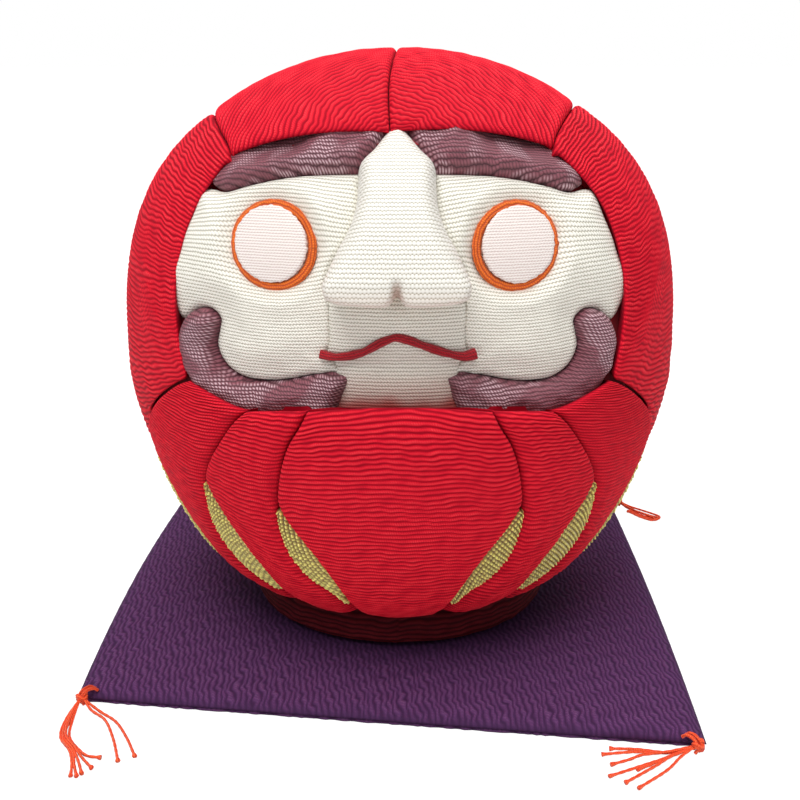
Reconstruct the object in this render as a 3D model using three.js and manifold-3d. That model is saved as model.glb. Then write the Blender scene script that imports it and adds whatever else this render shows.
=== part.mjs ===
// Daruma doll of red crepe on a thin square cushion.
// Millimetres, +Z up. The doll looks along -Y and its axis is the Z axis; z = 0 is the cushion's underside.
// The doll is a moulded core with cloth pieces glued on and their edges tucked into grooves in the core.
// "left" and "right" are as seen by someone who faces the doll, so left is -X.

import * as THREE from 'three';
import { mergeVertices } from 'three/addons/utils/BufferGeometryUtils.js';
import Module from 'manifold-3d';

const wasm = await Module();
wasm.setup();

// ---- Driving dimensions ----

const GAP = 0.35;               // clearance between touching pieces
const CUSHION_TOP = 3.0;        // the cushion's top under the doll; the heights below are measured from here
const BODY_RADIUS = 41.15;      // widest radius of the doll
const WAIST_HEIGHT = 39.77;     // height of the widest ring
const CROWN_RISE = 45.76;       // widest ring to the top of the head
const BELLY_DROP = 51.84;       // widest ring to the point that the belly curve aims at
const UPPER_POWERS = [1.1295, 0.6609];
const LOWER_POWERS = [1.1897, 1.2845];
const TUCK_HEIGHT = 12.4;       // below this the belly turns in faster, towards the foot
const TUCK_RATE = 0.064;
const FOOT_TOP = 5.2;
const FOOT_RADIUS = 22.2;
const FOOT_TAPER = 0.5;
const SOLE_THICKNESS = 0.5;
const SOLE_RADIUS = 20.5;
const CORE_LOWEST = -54;        // elevation, from the waist, of the core's lowest edge
const CORE_STEPS = 18;
const CLOTH = 1.6;              // thickness of a padded body panel
const EDGE_ROUND = 0.8;         // how far a panel's edges dip into their grooves
const FACE_CURVE = 58;          // radius of the face across its width
const FACE_DEPTH = 33.5;        // axis to the middle of the face
const FACE_BEND_HEIGHT = 56;    // above this the face leans back
const FACE_BEND = 10.5 / 19 ** 2;
const FACE_MIDDLE = 58;
const FACE_CLOTH = 0.7;
const EYE_HEIGHT = 61.4;
const EYE_SPACING = 31.6;
const EYE_RADIUS = 4.7;
const RIM_WIDTH = 0.9;
const BROW_THICKNESS = 2.2;
const MOUSTACHE_THICKNESS = 2.8;
const NOSE_RISE = 7.4;
const MOUTH_RADIUS = 0.5;
const CUSHION_CORNERS = [[-44.9, -32.7], [40.0, -45.4], [41.6, 40.0], [-42.4, 49.0]];
const TOP_ARCH = 1.1;           // how far the middle belly panel's top edge arches up
const CUSHION_EDGE = 1.5;
const CUSHION_CLOTH = 0.5;
const KNOT_RADIUS = 1.0;
const STRAND_RADIUS = 0.32;

// ---- Materials ----

function cloth(r, g, b, roughness = 0.8) {
  const color = new THREE.Color().setRGB(r / 255, g / 255, b / 255, THREE.SRGBColorSpace);
  return new THREE.MeshStandardMaterial({ color, roughness, metalness: 0 });
}

const RED = cloth(208, 24, 52);
const CREAM = cloth(228, 222, 208, 0.6);
const WHITE = cloth(243, 236, 229, 0.85);
const ORANGE = cloth(226, 92, 24);
const MAUVE = cloth(136, 92, 100, 0.55);
const GOLD = cloth(176, 160, 92, 0.4);
const CORD_RED = cloth(174, 40, 52, 0.6);
const PURPLE = cloth(80, 50, 84);
const TASSEL = cloth(255, 96, 50, 0.7);
const SAWDUST = cloth(196, 168, 128, 0.9);
const CARD = cloth(70, 40, 40, 0.9);
const COTTON = cloth(236, 232, 222, 0.95);

// ---- The doll's surface ----

// Radius of the doll at a height above the cushion: two power curves that meet at the waist.
function bodyRadius(height) {
  const above = height > WAIST_HEIGHT;
  const reach = above ? CROWN_RISE : BELLY_DROP;
  const [widthPower, heightPower] = above ? UPPER_POWERS : LOWER_POWERS;
  const sine = Math.min(1, (Math.abs(height - WAIST_HEIGHT) / reach) ** (1 / heightPower));
  const tuck = Math.max(0, TUCK_HEIGHT - height);
  return BODY_RADIUS * (1 - sine * sine) ** (widthPower / 2) - TUCK_RATE * tuck * tuck;
}

// Point on the doll at an azimuth from straight ahead (positive to the right) and a height.
function onBody(degrees, height) {
  const angle = THREE.MathUtils.degToRad(degrees);
  const r = bodyRadius(height);
  return new THREE.Vector3(r * Math.sin(angle), -r * Math.cos(angle), height);
}

// Moves a direction from the middle of the doll out to its surface, plus an offset.
const MIDDLE = new THREE.Vector3(0, 0, WAIST_HEIGHT);
function alongRay(direction, offset) {
  const unit = direction.clone().normalize();
  const across = Math.hypot(unit.x, unit.y);
  let near = 1;
  let far = 60;
  for (let step = 0; step < 30; step += 1) {
    const reach = (near + far) / 2;
    if (across * reach > bodyRadius(WAIST_HEIGHT + unit.z * reach)) far = reach;
    else near = reach;
  }
  return unit.multiplyScalar(near + offset).add(MIDDLE);
}

// A groove: a smooth curve through (azimuth, height) points, mirrored for the left side.
function groove(points, side = 1) {
  const knots = points.map(([degrees, height]) => onBody(side * degrees, height));
  return new THREE.CatmullRomCurve3(knots, false, 'centripetal');
}

// Two lines in the order left, right as a panel wants them.
const ordered = (near, far, side) => (side > 0 ? [near, far] : [far, near]);

// ---- Closed blocks whose shape is a formula ----

// A box of cells, each corner of which is placed by place(u, v, w), with u, v and w from 0 to 1.
function bentBox(nu, nv, nw, place) {
  const box = new THREE.BoxGeometry(1, 1, 1, nu, nv, nw);
  box.deleteAttribute('normal');
  box.deleteAttribute('uv');
  const geometry = mergeVertices(box, 1e-4);
  const position = geometry.attributes.position;
  for (let i = 0; i < position.count; i += 1) {
    const spot = place(position.getX(i) + 0.5, position.getY(i) + 0.5, position.getZ(i) + 0.5);
    position.setXYZ(i, spot.x, spot.y, spot.z);
  }
  return geometry;
}

// The slope, from the middle, of the ring where all the panels end above the foot.
const BASE_HEIGHT = 6.0;
const LOWEST_SLOPE = (BASE_HEIGHT - WAIST_HEIGHT) / bodyRadius(BASE_HEIGHT);

// A padded cloth panel between two grooves. Its edges dip, and it keeps a gap to its neighbours.
function panel(left, right, nu, nv, options = {}) {
  const { back = -CLOTH, front = 0, dip = EDGE_ROUND, ends = [0, 1], arch = 0 } = options;
  return bentBox(nu, nv, 1, (u, v, w) => {
    const along = THREE.MathUtils.lerp(ends[0], ends[1], v);
    const from = left.getPointAt(along);
    const to = right.getPointAt(along);
    const margin = Math.min(0.3, GAP / from.distanceTo(to));
    const across = THREE.MathUtils.lerp(margin, 1 - margin, u);
    const spot = from.lerp(to, across).sub(MIDDLE);
    spot.z += arch * (1 - (2 * across - 1) ** 2) * v ** 4;
    const direction = spot.setZ(Math.max(spot.z, LOWEST_SLOPE * Math.hypot(spot.x, spot.y)));
    const rounding = dip * (2 * u - 1) ** 6 * w;
    return alongRay(direction, THREE.MathUtils.lerp(back, front, w) - rounding);
  });
}

// A round piece turned about the Z axis.
function turned(profile, segments) {
  return new THREE.LatheGeometry(profile.map(([r, z]) => new THREE.Vector2(r, z)), segments)
    .rotateX(Math.PI / 2);
}

// ---- Joining and cutting ----

function solid(geometry) {
  const plain = geometry.clone();
  for (const name of Object.keys(plain.attributes)) {
    if (name !== 'position') plain.deleteAttribute(name);
  }
  const merged = mergeVertices(plain, 1e-4);
  const vertProperties = new Float32Array(merged.attributes.position.array);
  return new wasm.Manifold(new wasm.Mesh({
    numProp: 3, vertProperties, triVerts: new Uint32Array(merged.index.array),
  }));
}

function geometryOf(manifold) {
  const mesh = manifold.getMesh();
  const geometry = new THREE.BufferGeometry();
  geometry.setAttribute('position', new THREE.BufferAttribute(new Float32Array(mesh.vertProperties), 3));
  geometry.setIndex(new THREE.BufferAttribute(new Uint32Array(mesh.triVerts), 1));
  return geometry;
}

// ---- The face ----

// How far the face stands in front of the axis at (x, height).
function faceDepth(x, height) {
  const lean = FACE_BEND * Math.max(0, height - FACE_BEND_HEIGHT) ** 2;
  return FACE_DEPTH - lean - FACE_CURVE + Math.sqrt(FACE_CURVE ** 2 - x * x);
}

// A slab that follows the face, from `back` to `front` millimetres proud of it.
function faceSlab(back, front, { cells = [16, 10], halfWidth = 32, low = 37, high = 80 } = {}) {
  return bentBox(cells[0], cells[1], 1, (u, v, w) => {
    const x = THREE.MathUtils.lerp(-halfWidth, halfWidth, u);
    const height = THREE.MathUtils.lerp(low, high, v);
    const proud = w > 0.5 ? front : back;
    return new THREE.Vector3(x, -faceDepth(x, height) - proud, height);
  });
}

// An outline in (x, height), carried through the doll from front to back.
function prism(shape, curveSegments = 6) {
  const block = new THREE.ExtrudeGeometry(shape, { depth: 80, bevelEnabled: false, curveSegments });
  return solid(block.rotateX(Math.PI / 2));
}

// A piece of the face: the outline's prism, kept where it lies in the slab.
function facePiece(shape, back, front, options = {}) {
  const slab = solid(faceSlab(back, front, options));
  let piece = slab.intersect(prism(shape, options.curveSegments));
  if (options.inside) piece = piece.intersect(prism(options.inside));
  if (options.cut) piece = piece.subtract(options.cut);
  return geometryOf(piece);
}

function smoothShape(points) {
  const curve = new THREE.CatmullRomCurve3(
    points.map(([x, z]) => new THREE.Vector3(x, z, 0)), true, 'centripetal');
  return new THREE.Shape(curve.getPoints(points.length * 2).slice(0, -1)
    .map((spot) => new THREE.Vector2(spot.x, spot.y)));
}

// The face opening in the red cloth, half of it, from the top middle to the bottom middle.
const OPENING = [[0, 74.6], [11.3, 74], [20.3, 71.7], [25.3, 67], [27.9, 61.2], [29.2, 54.8],
  [29, 48.3], [27.6, 42], [21, 38.4], [11.5, 38], [0, 38.2]];

// The opening, drawn in by `inset` millimetres.
function opening(inset) {
  const half = OPENING.map(([x, height]) => {
    const away = Math.hypot(x, height - FACE_MIDDLE);
    const scale = (away - inset) / away;
    return [x * scale, FACE_MIDDLE + (height - FACE_MIDDLE) * scale];
  });
  const mirrored = half.slice(1, -1).reverse().map(([x, height]) => [-x, height]);
  return smoothShape([...half, ...mirrored]);
}

const mirrorPoints = (points, side) => points.map(([x, height]) => [side * x, height]);

// ---- Grooves of the doll, right side, from bottom to top ----

const INNER_GROOVE = [[13, BASE_HEIGHT], [17.3, 11.6], [22, 14.2], [24.8, 17.6], [25.6, 21.4], [25.6, 24.2],
  [24.6, 27.7], [23.4, 30.2], [21.8, 33.4], [19.9, 36.5], [17.6, 39.4], [16.4, 41.6]];
const CENTRE_EDGE = [[12.6, BASE_HEIGHT], [15.6, 11.4], [17.9, 15.3], [19.9, 18.7], [21.9, 21.6],
  [23.6, 24.6], [24.4, 27.4], [23.3, 30.2], [21.7, 33.4], [19.8, 36.5], [17.5, 39.4], [16.3, 41.6]];
const OUTER_GROOVE = [[35, BASE_HEIGHT], [41.6, 10.2], [47, 12.4], [49.4, 15.4], [49.4, 18.4], [47.8, 21.8],
  [45.4, 25.6], [43.8, 27.8], [42.4, 29.4], [39.5, 32], [35.2, 35.3], [31.3, 38.7], [28.7, 40.6]];
const INNER_EDGE = [[32.5, BASE_HEIGHT], [36.4, 10.8], [37.6, 13.8], [39.3, 16.8], [40.9, 20.5],
  [42, 23.6], [43, 26.4], [43, 28], [42.1, 29.5], [39.4, 32], [35.1, 35.3], [31.2, 38.7], [28.6, 40.6]];
const SIDE_GROOVE = [[58, BASE_HEIGHT], [69, 12], [77, 17], [77, 24], [70.5, 30], [60.9, 35.2],
  [51.8, 39.3], [45.6, 41.6], [41.8, 42.6]];
const OUTER_EDGE = [[56, BASE_HEIGHT], [66, 12], [73, 17.5], [74.5, 24], [70, 29.7], [60.7, 35.1],
  [51.6, 39.2], [45.5, 41.5], [41.7, 42.5]];
const LOWER_RIM = [[58.5, BASE_HEIGHT], [69.5, 12], [77.5, 17], [77.5, 24], [71, 30.1], [61.4, 35.3],
  [52.3, 39.4], [46.4, 41.9], [44.6, 44], [45.9, 48.3], [46.9, 54.8], [46.8, 61.2]];
const FACE_RIM = {
  left: [...LOWER_RIM, [45.8, 66.4], [42.9, 71]],
  right: [...LOWER_RIM, [45.2, 66.8], [39.4, 72]],
};
const HOOD_BACK = [[150, BASE_HEIGHT], [152, 25], [150, 45]];
const HOOD_GROOVE = {
  left: [...HOOD_BACK, [142, 59.5], [125, 70], [98, 75.4], [69.3, 75.6], [57.3, 74.5],
    [49, 73.2], [44, 71.9]],
  right: [...HOOD_BACK, [142, 60], [125, 71], [98, 76.6], [68.6, 77], [54.5, 75.9],
    [45.1, 74.3], [40.8, 73]],
};
const TOP_SEAM = [[180, BASE_HEIGHT], [180, 25], [180, 45], [180, 60], [180, 73], [180, 82],
  [-13, 84.9], [-4.6, 80.9], [-2.5, 75]];

// ---- Pieces of the doll ----

function bodyCore() {
  const inset = CLOTH + 2 * GAP;
  const floor = FOOT_TOP + GAP;
  const profile = [[0, floor]];
  const lowest = THREE.MathUtils.degToRad(CORE_LOWEST);
  for (let step = 0; step <= CORE_STEPS; step += 1) {
    const rise = THREE.MathUtils.lerp(lowest, Math.PI / 2, step / CORE_STEPS);
    const spot = alongRay(new THREE.Vector3(Math.cos(rise), 0, Math.sin(rise)), -inset);
    profile.push([step === CORE_STEPS ? 0 : spot.x, Math.max(floor, spot.z)]);
  }
  const hollow = faceSlab(-FACE_CLOTH - GAP, 30, { cells: [10, 8], halfWidth: 36 });
  const cutter = solid(hollow).intersect(prism(opening(1.1)));
  return geometryOf(solid(turned(profile, 48)).subtract(cutter));
}

function footRing() {
  const bottom = SOLE_THICKNESS + 2 * GAP;
  return turned([[0, bottom], [FOOT_RADIUS - FOOT_TAPER, bottom], [FOOT_RADIUS, FOOT_TOP - 1],
    [FOOT_RADIUS - 0.6, FOOT_TOP], [0, FOOT_TOP]], 48);
}

function solePaper() {
  return turned([[0, GAP], [SOLE_RADIUS, GAP], [SOLE_RADIUS, GAP + SOLE_THICKNESS],
    [0, GAP + SOLE_THICKNESS]], 48);
}

// The strip of gold brocade that shows between a groove and the edge of the panel beside it.
function goldSliver(edge, grooveLine, side, ends) {
  const [left, right] = ordered(groove(edge, side), groove(grooveLine, side), side);
  return panel(left, right, 1, 8, { back: -1.2, front: -0.5, dip: 0, ends });
}

const NOSE_OUTLINE = [[0, 73.2], [2.6, 71.5], [4.8, 69.6], [5.2, 65.8], [6.4, 62.1], [8, 59.9],
  [8.7, 57.6], [7.6, 55.9], [4.2, 55], [0, 55.2]];

function nose() {
  const outline = smoothShape([...NOSE_OUTLINE,
    ...mirrorPoints(NOSE_OUTLINE.slice(1, -1).reverse(), -1)]);
  const front = bentBox(8, 8, 1, (u, v, w) => {
    const x = THREE.MathUtils.lerp(-10, 10, u);
    const height = THREE.MathUtils.lerp(54, 74, v);
    const ridge = THREE.MathUtils.lerp(NOSE_RISE, 2.2, v ** 0.8) * (1 - 0.5 * Math.abs(2 * u - 1) ** 2.2);
    return new THREE.Vector3(x, -faceDepth(x, height) - (w > 0.5 ? ridge : GAP), height);
  });
  return geometryOf(solid(front).intersect(prism(outline)));
}

const BROW_OUTLINE = [[3, 73.6], [8, 73.6], [13, 73], [18, 71.4], [22, 68.9], [21.5, 67.8],
  [17, 68.8], [12, 69.7], [6.5, 70.2], [4.6, 71.2]];
const MOUSTACHE_OUTLINE = [[23.5, 51.3], [26.8, 50.8], [27.4, 48], [26.5, 45], [23.5, 42.8], [18, 42.2],
  [11, 42.9], [7.2, 43.2], [7.2, 45.1], [12, 45.3], [18, 44.8], [22.4, 45.6], [23.6, 47.8]];
const CHIN_TOP = 53.4;
const CHIN_CORNER = 10.4;

function chinShape() {
  return new THREE.Shape([[-6.6, 37], [6.6, 37], [CHIN_CORNER, 47.6], [7.6, CHIN_TOP],
    [-7.6, CHIN_TOP], [-CHIN_CORNER, 47.6]].map(([x, height]) => new THREE.Vector2(x, height)));
}

// A cheek cloth covers one half of the face as far as the middle line, except the chin cloth's place.
function cheekCloth(side) {
  const middle = side * GAP / 2;
  const half = new THREE.Shape([[middle, 38], [side * 34, 38], [side * 34, 79], [middle, 79]]
    .map(([x, height]) => new THREE.Vector2(x, height)));
  const chinGap = new THREE.Shape([[-7, 36], [7, 36], [CHIN_CORNER + GAP, 47.6], [8, CHIN_TOP + GAP],
    [-8, CHIN_TOP + GAP], [-CHIN_CORNER - GAP, 47.6]].map(([x, height]) => new THREE.Vector2(x, height)));
  return facePiece(opening(1.9), -FACE_CLOTH, 0, { inside: half, cut: prism(chinGap) });
}

function ring(x, height, radius, hole) {
  const shape = new THREE.Shape();
  shape.absarc(x, height, radius, 0, 2 * Math.PI, false);
  if (hole) {
    const inner = new THREE.Path();
    inner.absarc(x, height, hole, 0, 2 * Math.PI, true);
    shape.holes.push(inner);
  }
  return shape;
}

function eyePiece(side, radius, hole, front) {
  const x = side * EYE_SPACING / 2;
  const window = { cells: [12, 3], halfWidth: 24, low: 52, high: 71, curveSegments: 14 };
  return facePiece(ring(x, EYE_HEIGHT, radius, hole), GAP, front, window);
}

// A round bar along a smooth route.
function bar(route, radius, steps, sides = 6) {
  const section = new THREE.Shape();
  for (let i = 0; i < sides; i += 1) {
    const angle = (2 * Math.PI * i) / sides;
    const spot = [radius * Math.cos(angle), radius * Math.sin(angle)];
    if (i === 0) section.moveTo(...spot);
    else section.lineTo(...spot);
  }
  const path = new THREE.CatmullRomCurve3(route, false, 'centripetal');
  return new THREE.ExtrudeGeometry(section, { steps, bevelEnabled: false, extrudePath: path });
}

function mouthCord() {
  const places = [[-9.9, 47.3], [-7.5, 47.3], [-4.3, 48.2], [-0.4, 50.1], [2.6, 49.3], [5.4, 48.2],
    [8.2, 47.2], [9.9, 47.6]];
  const proud = MOUTH_RADIUS + GAP;
  return bar(places.map(([x, height]) => new THREE.Vector3(x, -faceDepth(x, height) - proud, height)),
    MOUTH_RADIUS, 16, 8);
}

// ---- The cushion and its tassels ----

const FLOOR = -CUSHION_TOP;     // the underside of the cushion, in heights above its top

function cushionSpot(u, v, inset) {
  const margin = inset / 84;
  const a = THREE.MathUtils.lerp(margin, 1 - margin, u);
  const b = THREE.MathUtils.lerp(margin, 1 - margin, v);
  const corners = CUSHION_CORNERS.map(([x, y]) => new THREE.Vector2(x, y));
  const front = corners[0].clone().lerp(corners[1], a);
  const back = corners[3].clone().lerp(corners[2], a);
  return { spot: front.lerp(back, b), a, b };
}

// Height of the cushion's top: flat in the middle, falling to its sewn edges.
function cushionTop(a, b) {
  const fall = (1 - (2 * a - 1) ** 6) * (1 - (2 * b - 1) ** 6);
  return FLOOR + CUSHION_EDGE + (CUSHION_TOP - CUSHION_EDGE) * fall;
}

function cushionLayer(inset, cells, low, high) {
  return bentBox(cells, cells, 1, (u, v, w) => {
    const { spot, a, b } = cushionSpot(u, v, inset);
    return new THREE.Vector3(spot.x, spot.y, w > 0.5 ? high(a, b) : low(a, b));
  });
}

// A tassel: a knot at the cushion's corner and loose threads that fan out from it, on the table.
function tassel(knot, ends) {
  const centre = new THREE.Vector3(knot[0], knot[1], FLOOR + KNOT_RADIUS + 0.2);
  const ball = new THREE.SphereGeometry(KNOT_RADIUS, 8, 6).translate(centre.x, centre.y, centre.z);
  let whole = solid(ball);
  ends.forEach(([x, y, bow], i) => {
    const low = FLOOR + STRAND_RADIUS + 0.25;
    const end = new THREE.Vector3(x, y, low);
    const middle = centre.clone().lerp(end, 0.5);
    const sideways = new THREE.Vector3(-(y - centre.y), x - centre.x, 0).multiplyScalar(bow);
    middle.add(sideways).setZ(low + 0.15 * (i % 3));
    whole = whole.add(solid(bar([centre, middle, end], STRAND_RADIUS, 5, 5)));
  });
  return geometryOf(whole);
}

const KNOTS = {
  front_left: [-44.3, -34.4],
  front_right: [38.9, -47.0],
  back_left: [-43.4, 50.5],
  back_right: [43.2, 41.3],
};
const THREAD_ENDS = {
  front_left: [[-41.2, -52.6, 0.1], [-39.9, -52.2, -0.08], [-38.8, -50.6, 0.06], [-37, -48.6, -0.1],
    [-35.2, -49.4, 0.12], [-33.6, -47.4, -0.06]],
  front_right: [[27.2, -49.2, -0.04], [26.6, -51, 0.07], [27.4, -53.2, -0.06], [28.6, -55.4, 0.08],
    [30.8, -57, -0.05]],
  back_left: [[-40, 66, 0.08], [-36.5, 65, -0.07], [-43, 67, 0.05], [-33.5, 62.4, -0.08]],
  back_right: [[49.8, 33.6, -0.1], [51.4, 34.6, 0.12], [53, 36.8, 0.06]],
};

// ---- Assembly ----

const doll = new THREE.Group();
doll.position.z = CUSHION_TOP;

function add(name, geometry, material) {
  const mesh = new THREE.Mesh(geometry, material);
  mesh.name = name;
  doll.add(mesh);
}

add('body_core', bodyCore(), SAWDUST);
add('foot_ring', footRing(), RED);
add('sole_paper', solePaper(), CARD);
add('belly_panel_centre', panel(groove(CENTRE_EDGE, -1), groove(CENTRE_EDGE), 8, 10,
  { arch: TOP_ARCH }), RED);
add('chin_cloth', facePiece(chinShape(), -FACE_CLOTH, 0, { inside: opening(1.9) }), CREAM);
add('nose', nose(), CREAM);
add('mouth_cord', mouthCord(), CORD_RED);

for (const [word, side] of [['left', -1], ['right', 1]]) {
  const between = (a, b) => ordered(groove(a, side), groove(b, side), side);
  const hood = groove(HOOD_GROOVE[word], side);
  add(`belly_panel_inner_${word}`, panel(...between(INNER_GROOVE, INNER_EDGE), 4, 9), RED);
  add(`belly_panel_outer_${word}`, panel(...between(OUTER_GROOVE, OUTER_EDGE), 5, 9), RED);
  add(`side_panel_${word}`, panel(...ordered(groove(FACE_RIM[word], side), hood, side), 12, 14), RED);
  add(`back_panel_${word}`, panel(...ordered(hood, groove(TOP_SEAM), side), 7, 16), RED);
  add(`gold_sliver_inner_${word}`, goldSliver(CENTRE_EDGE, INNER_GROOVE, side, [0.1, 0.5]), GOLD);
  add(`gold_sliver_outer_${word}`, goldSliver(INNER_EDGE, OUTER_GROOVE, side, [0.1, 0.55]), GOLD);
  add(`gold_sliver_side_${word}`, goldSliver(OUTER_EDGE, SIDE_GROOVE, side, [0.1, 0.45]), GOLD);
  add(`cheek_cloth_${word}`, cheekCloth(side), CREAM);
  add(`eye_disc_${word}`, eyePiece(side, EYE_RADIUS, 0, GAP + 0.7), WHITE);
  add(`eye_rim_${word}`, eyePiece(side, EYE_RADIUS + GAP + RIM_WIDTH, EYE_RADIUS + GAP, GAP + 0.5), ORANGE);
  add(`eyebrow_${word}`, facePiece(smoothShape(mirrorPoints(BROW_OUTLINE, side)), GAP,
    BROW_THICKNESS, { inside: opening(1.6) }), MAUVE);
  add(`moustache_${word}`, facePiece(smoothShape(mirrorPoints(MOUSTACHE_OUTLINE, side)), GAP,
    MOUSTACHE_THICKNESS, { inside: opening(1.9) }), MAUVE);
}

add('cushion_under_cloth', cushionLayer(0, 8, () => FLOOR, () => FLOOR + CUSHION_CLOTH), PURPLE);
add('cushion_wadding', cushionLayer(4, 8, () => FLOOR + CUSHION_CLOTH + GAP,
  (a, b) => cushionTop(a, b) - CUSHION_CLOTH - GAP), COTTON);
add('cushion_top_cloth', cushionLayer(0, 10, (a, b) => cushionTop(a, b) - CUSHION_CLOTH, cushionTop),
  PURPLE);
for (const [corner, knot] of Object.entries(KNOTS)) {
  add(`tassel_${corner}`, tassel(knot, THREAD_ENDS[corner]), TASSEL);
}

export default doll;
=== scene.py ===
"""A crepe daruma doll on a thin tasselled cushion: cloth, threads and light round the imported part.

Shapes are worked out in millimetres as whole numpy arrays and put into Blender in metres.
The doll faces -Y, its axis is the Z axis, and heights are measured from the cushion's top.
Left and right are as seen by someone who faces the doll.
"""
import math

import bpy
import numpy as np
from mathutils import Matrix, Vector


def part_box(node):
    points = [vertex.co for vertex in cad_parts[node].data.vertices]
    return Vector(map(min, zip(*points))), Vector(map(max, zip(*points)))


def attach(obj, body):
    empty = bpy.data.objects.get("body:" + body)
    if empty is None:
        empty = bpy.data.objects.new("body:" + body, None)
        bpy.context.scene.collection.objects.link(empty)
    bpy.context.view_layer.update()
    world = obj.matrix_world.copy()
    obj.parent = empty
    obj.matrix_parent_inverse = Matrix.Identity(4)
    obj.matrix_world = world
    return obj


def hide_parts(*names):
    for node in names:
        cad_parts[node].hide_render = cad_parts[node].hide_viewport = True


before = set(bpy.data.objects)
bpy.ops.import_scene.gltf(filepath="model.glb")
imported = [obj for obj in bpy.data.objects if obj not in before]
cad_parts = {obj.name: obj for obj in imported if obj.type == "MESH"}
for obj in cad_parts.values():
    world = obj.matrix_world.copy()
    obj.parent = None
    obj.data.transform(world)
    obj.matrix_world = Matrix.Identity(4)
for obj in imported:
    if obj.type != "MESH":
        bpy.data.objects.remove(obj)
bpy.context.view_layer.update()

MM = 0.001
SIDES = (("left", -1.0), ("right", 1.0))


def node_box(node):
    """Lowest and highest corner of a CAD node, in millimetres."""
    low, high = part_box(node)
    return np.array(low) / MM, np.array(high) / MM


# ---- Sizes ----

TABLE_TOP = node_box("cushion_top_cloth")[1][2]     # the plane that the doll stands on
FLOOR = -TABLE_TOP                                  # what the cushion lies on
WAIST_HEIGHT = 39.77                                # widest ring
MIDDLE = np.array([0.0, 0.0, WAIST_HEIGHT])
BODY_RADIUS = node_box("side_panel_right")[1][0]
CROWN_RISE = node_box("back_panel_right")[1][2] - TABLE_TOP - WAIST_HEIGHT
BELLY_DROP = 51.84              # how far the lower curve would reach below the waist, if it went on
UPPER_POWERS = (1.1295, 0.6609)     # of the cosine for the radius and of the sine for the height
LOWER_POWERS = (1.1897, 1.2845)     # the same, below the waist
TUCK_HEIGHT, TUCK_RATE = 12.4, 0.064
BASE_HEIGHT = 6.0               # where the cloth meets the foot
FACE_CURVE = 58.0               # radius of the face's arc from side to side
FACE_DEPTH = 33.5               # how far its middle stands in front of the axis
FACE_BEND_HEIGHT = 56.0         # above this it leans back
FACE_BEND = 10.5 / 19 ** 2      # by this, times the square of the rise

CREPE_PITCH = 0.75
CREPE_DEPTH = 0.24
LINE_POINTS = 400               # in the line of a groove


# ---- Curves ----

def travelled(points, axis=0):
    """Distance covered along one axis of an array of points, from 0."""
    first = np.take(points, [0], axis=axis)
    return np.cumsum(np.linalg.norm(np.diff(points, axis=axis, prepend=first), axis=-1), axis=axis)


def points_at(line, places, wanted):
    """Points between those of a line, which lie at `places`."""
    return np.stack([np.interp(wanted, places, line[:, k]) for k in range(line.shape[1])], axis=1)


def smooth_line(points, count):
    """Curve through the points, sampled at `count` places evenly spaced along its length.

    Between two points it is the cubic whose slope at each of them is the central difference of its
    neighbours, over steps of the square root of the distance (a centripetal Catmull-Rom curve).
    """
    p = np.asarray(points, float)
    t = np.concatenate([[0], np.cumsum(np.linalg.norm(np.diff(p, axis=0), axis=1) ** 0.5)])
    slope = np.gradient(p, t, axis=0)
    dense = np.linspace(0, t[-1], 40 * len(p))
    i = np.clip(np.searchsorted(t, dense, side="right") - 1, 0, len(p) - 2)
    step = (t[i + 1] - t[i])[:, None]
    s = (dense - t[i])[:, None] / step
    line = ((2 * s ** 3 - 3 * s ** 2 + 1) * p[i] + (s ** 3 - 2 * s ** 2 + s) * step * slope[i]
            + (3 * s ** 2 - 2 * s ** 3) * p[i + 1] + (s ** 3 - s ** 2) * step * slope[i + 1])
    run = travelled(line)
    return points_at(line, run, np.linspace(0, run[-1], count))


def smoothstep(x, low, high):
    """0 below low, 1 above high, and an S-curve between them."""
    t = np.clip((x - low) / (high - low), 0, 1)
    return t * t * (3 - 2 * t)


def waves(a, b, seed, length, count=7):
    """Gentle noise from -1 to 1: a mean of sine waves whose directions and phases are drawn at random."""
    rng = np.random.default_rng(seed)
    total = np.zeros(np.broadcast(a, b).shape)
    for _ in range(count):
        angle, phase = rng.uniform(0, 2 * np.pi), rng.uniform(0, 2 * np.pi)
        stretch = rng.uniform(0.6, 1.6)
        k = 2 * np.pi / (length * stretch)
        total += np.sin(k * (a * np.cos(angle) + b * np.sin(angle)) + phase)
    return total / count ** 0.5 / 1.3


# ---- The doll's surface ----

def body_profile():
    """(elevation seen from the middle, distance from it, radius, height) along the doll's side.

    Radius is a power of a cosine and height a power of a sine, with other powers above and below the
    waist; near the foot the radius falls faster, by the square of the distance below TUCK_HEIGHT.
    """
    t = np.linspace(-1.25, np.pi / 2, 1200)
    above = t > 0
    width = np.where(above, UPPER_POWERS[0], LOWER_POWERS[0])
    lift = np.where(above, UPPER_POWERS[1], LOWER_POWERS[1])
    reach = np.where(above, CROWN_RISE, BELLY_DROP)
    radius = BODY_RADIUS * np.cos(t).clip(0) ** width
    height = WAIST_HEIGHT + np.sign(t) * reach * np.abs(np.sin(t)) ** lift
    radius = radius - TUCK_RATE * np.clip(TUCK_HEIGHT - height, 0, None) ** 2
    rise = height - WAIST_HEIGHT
    keep = radius > -0.01
    elevation, distance = np.arctan2(rise, radius)[keep], np.hypot(radius, rise)[keep]
    order = np.argsort(elevation)
    return elevation[order], distance[order], radius[keep], height[keep]


ELEVATIONS, DISTANCES, RADII, HEIGHTS = body_profile()


def on_body(degrees, height):
    """Point at an azimuth from straight ahead and a height."""
    r = np.interp(height, HEIGHTS, RADII)
    angle = np.radians(degrees)
    return np.stack([r * np.sin(angle), -r * np.cos(angle), np.asarray(height, float)], axis=-1)


def unit(v):
    return v / np.linalg.norm(v, axis=-1, keepdims=True)


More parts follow.
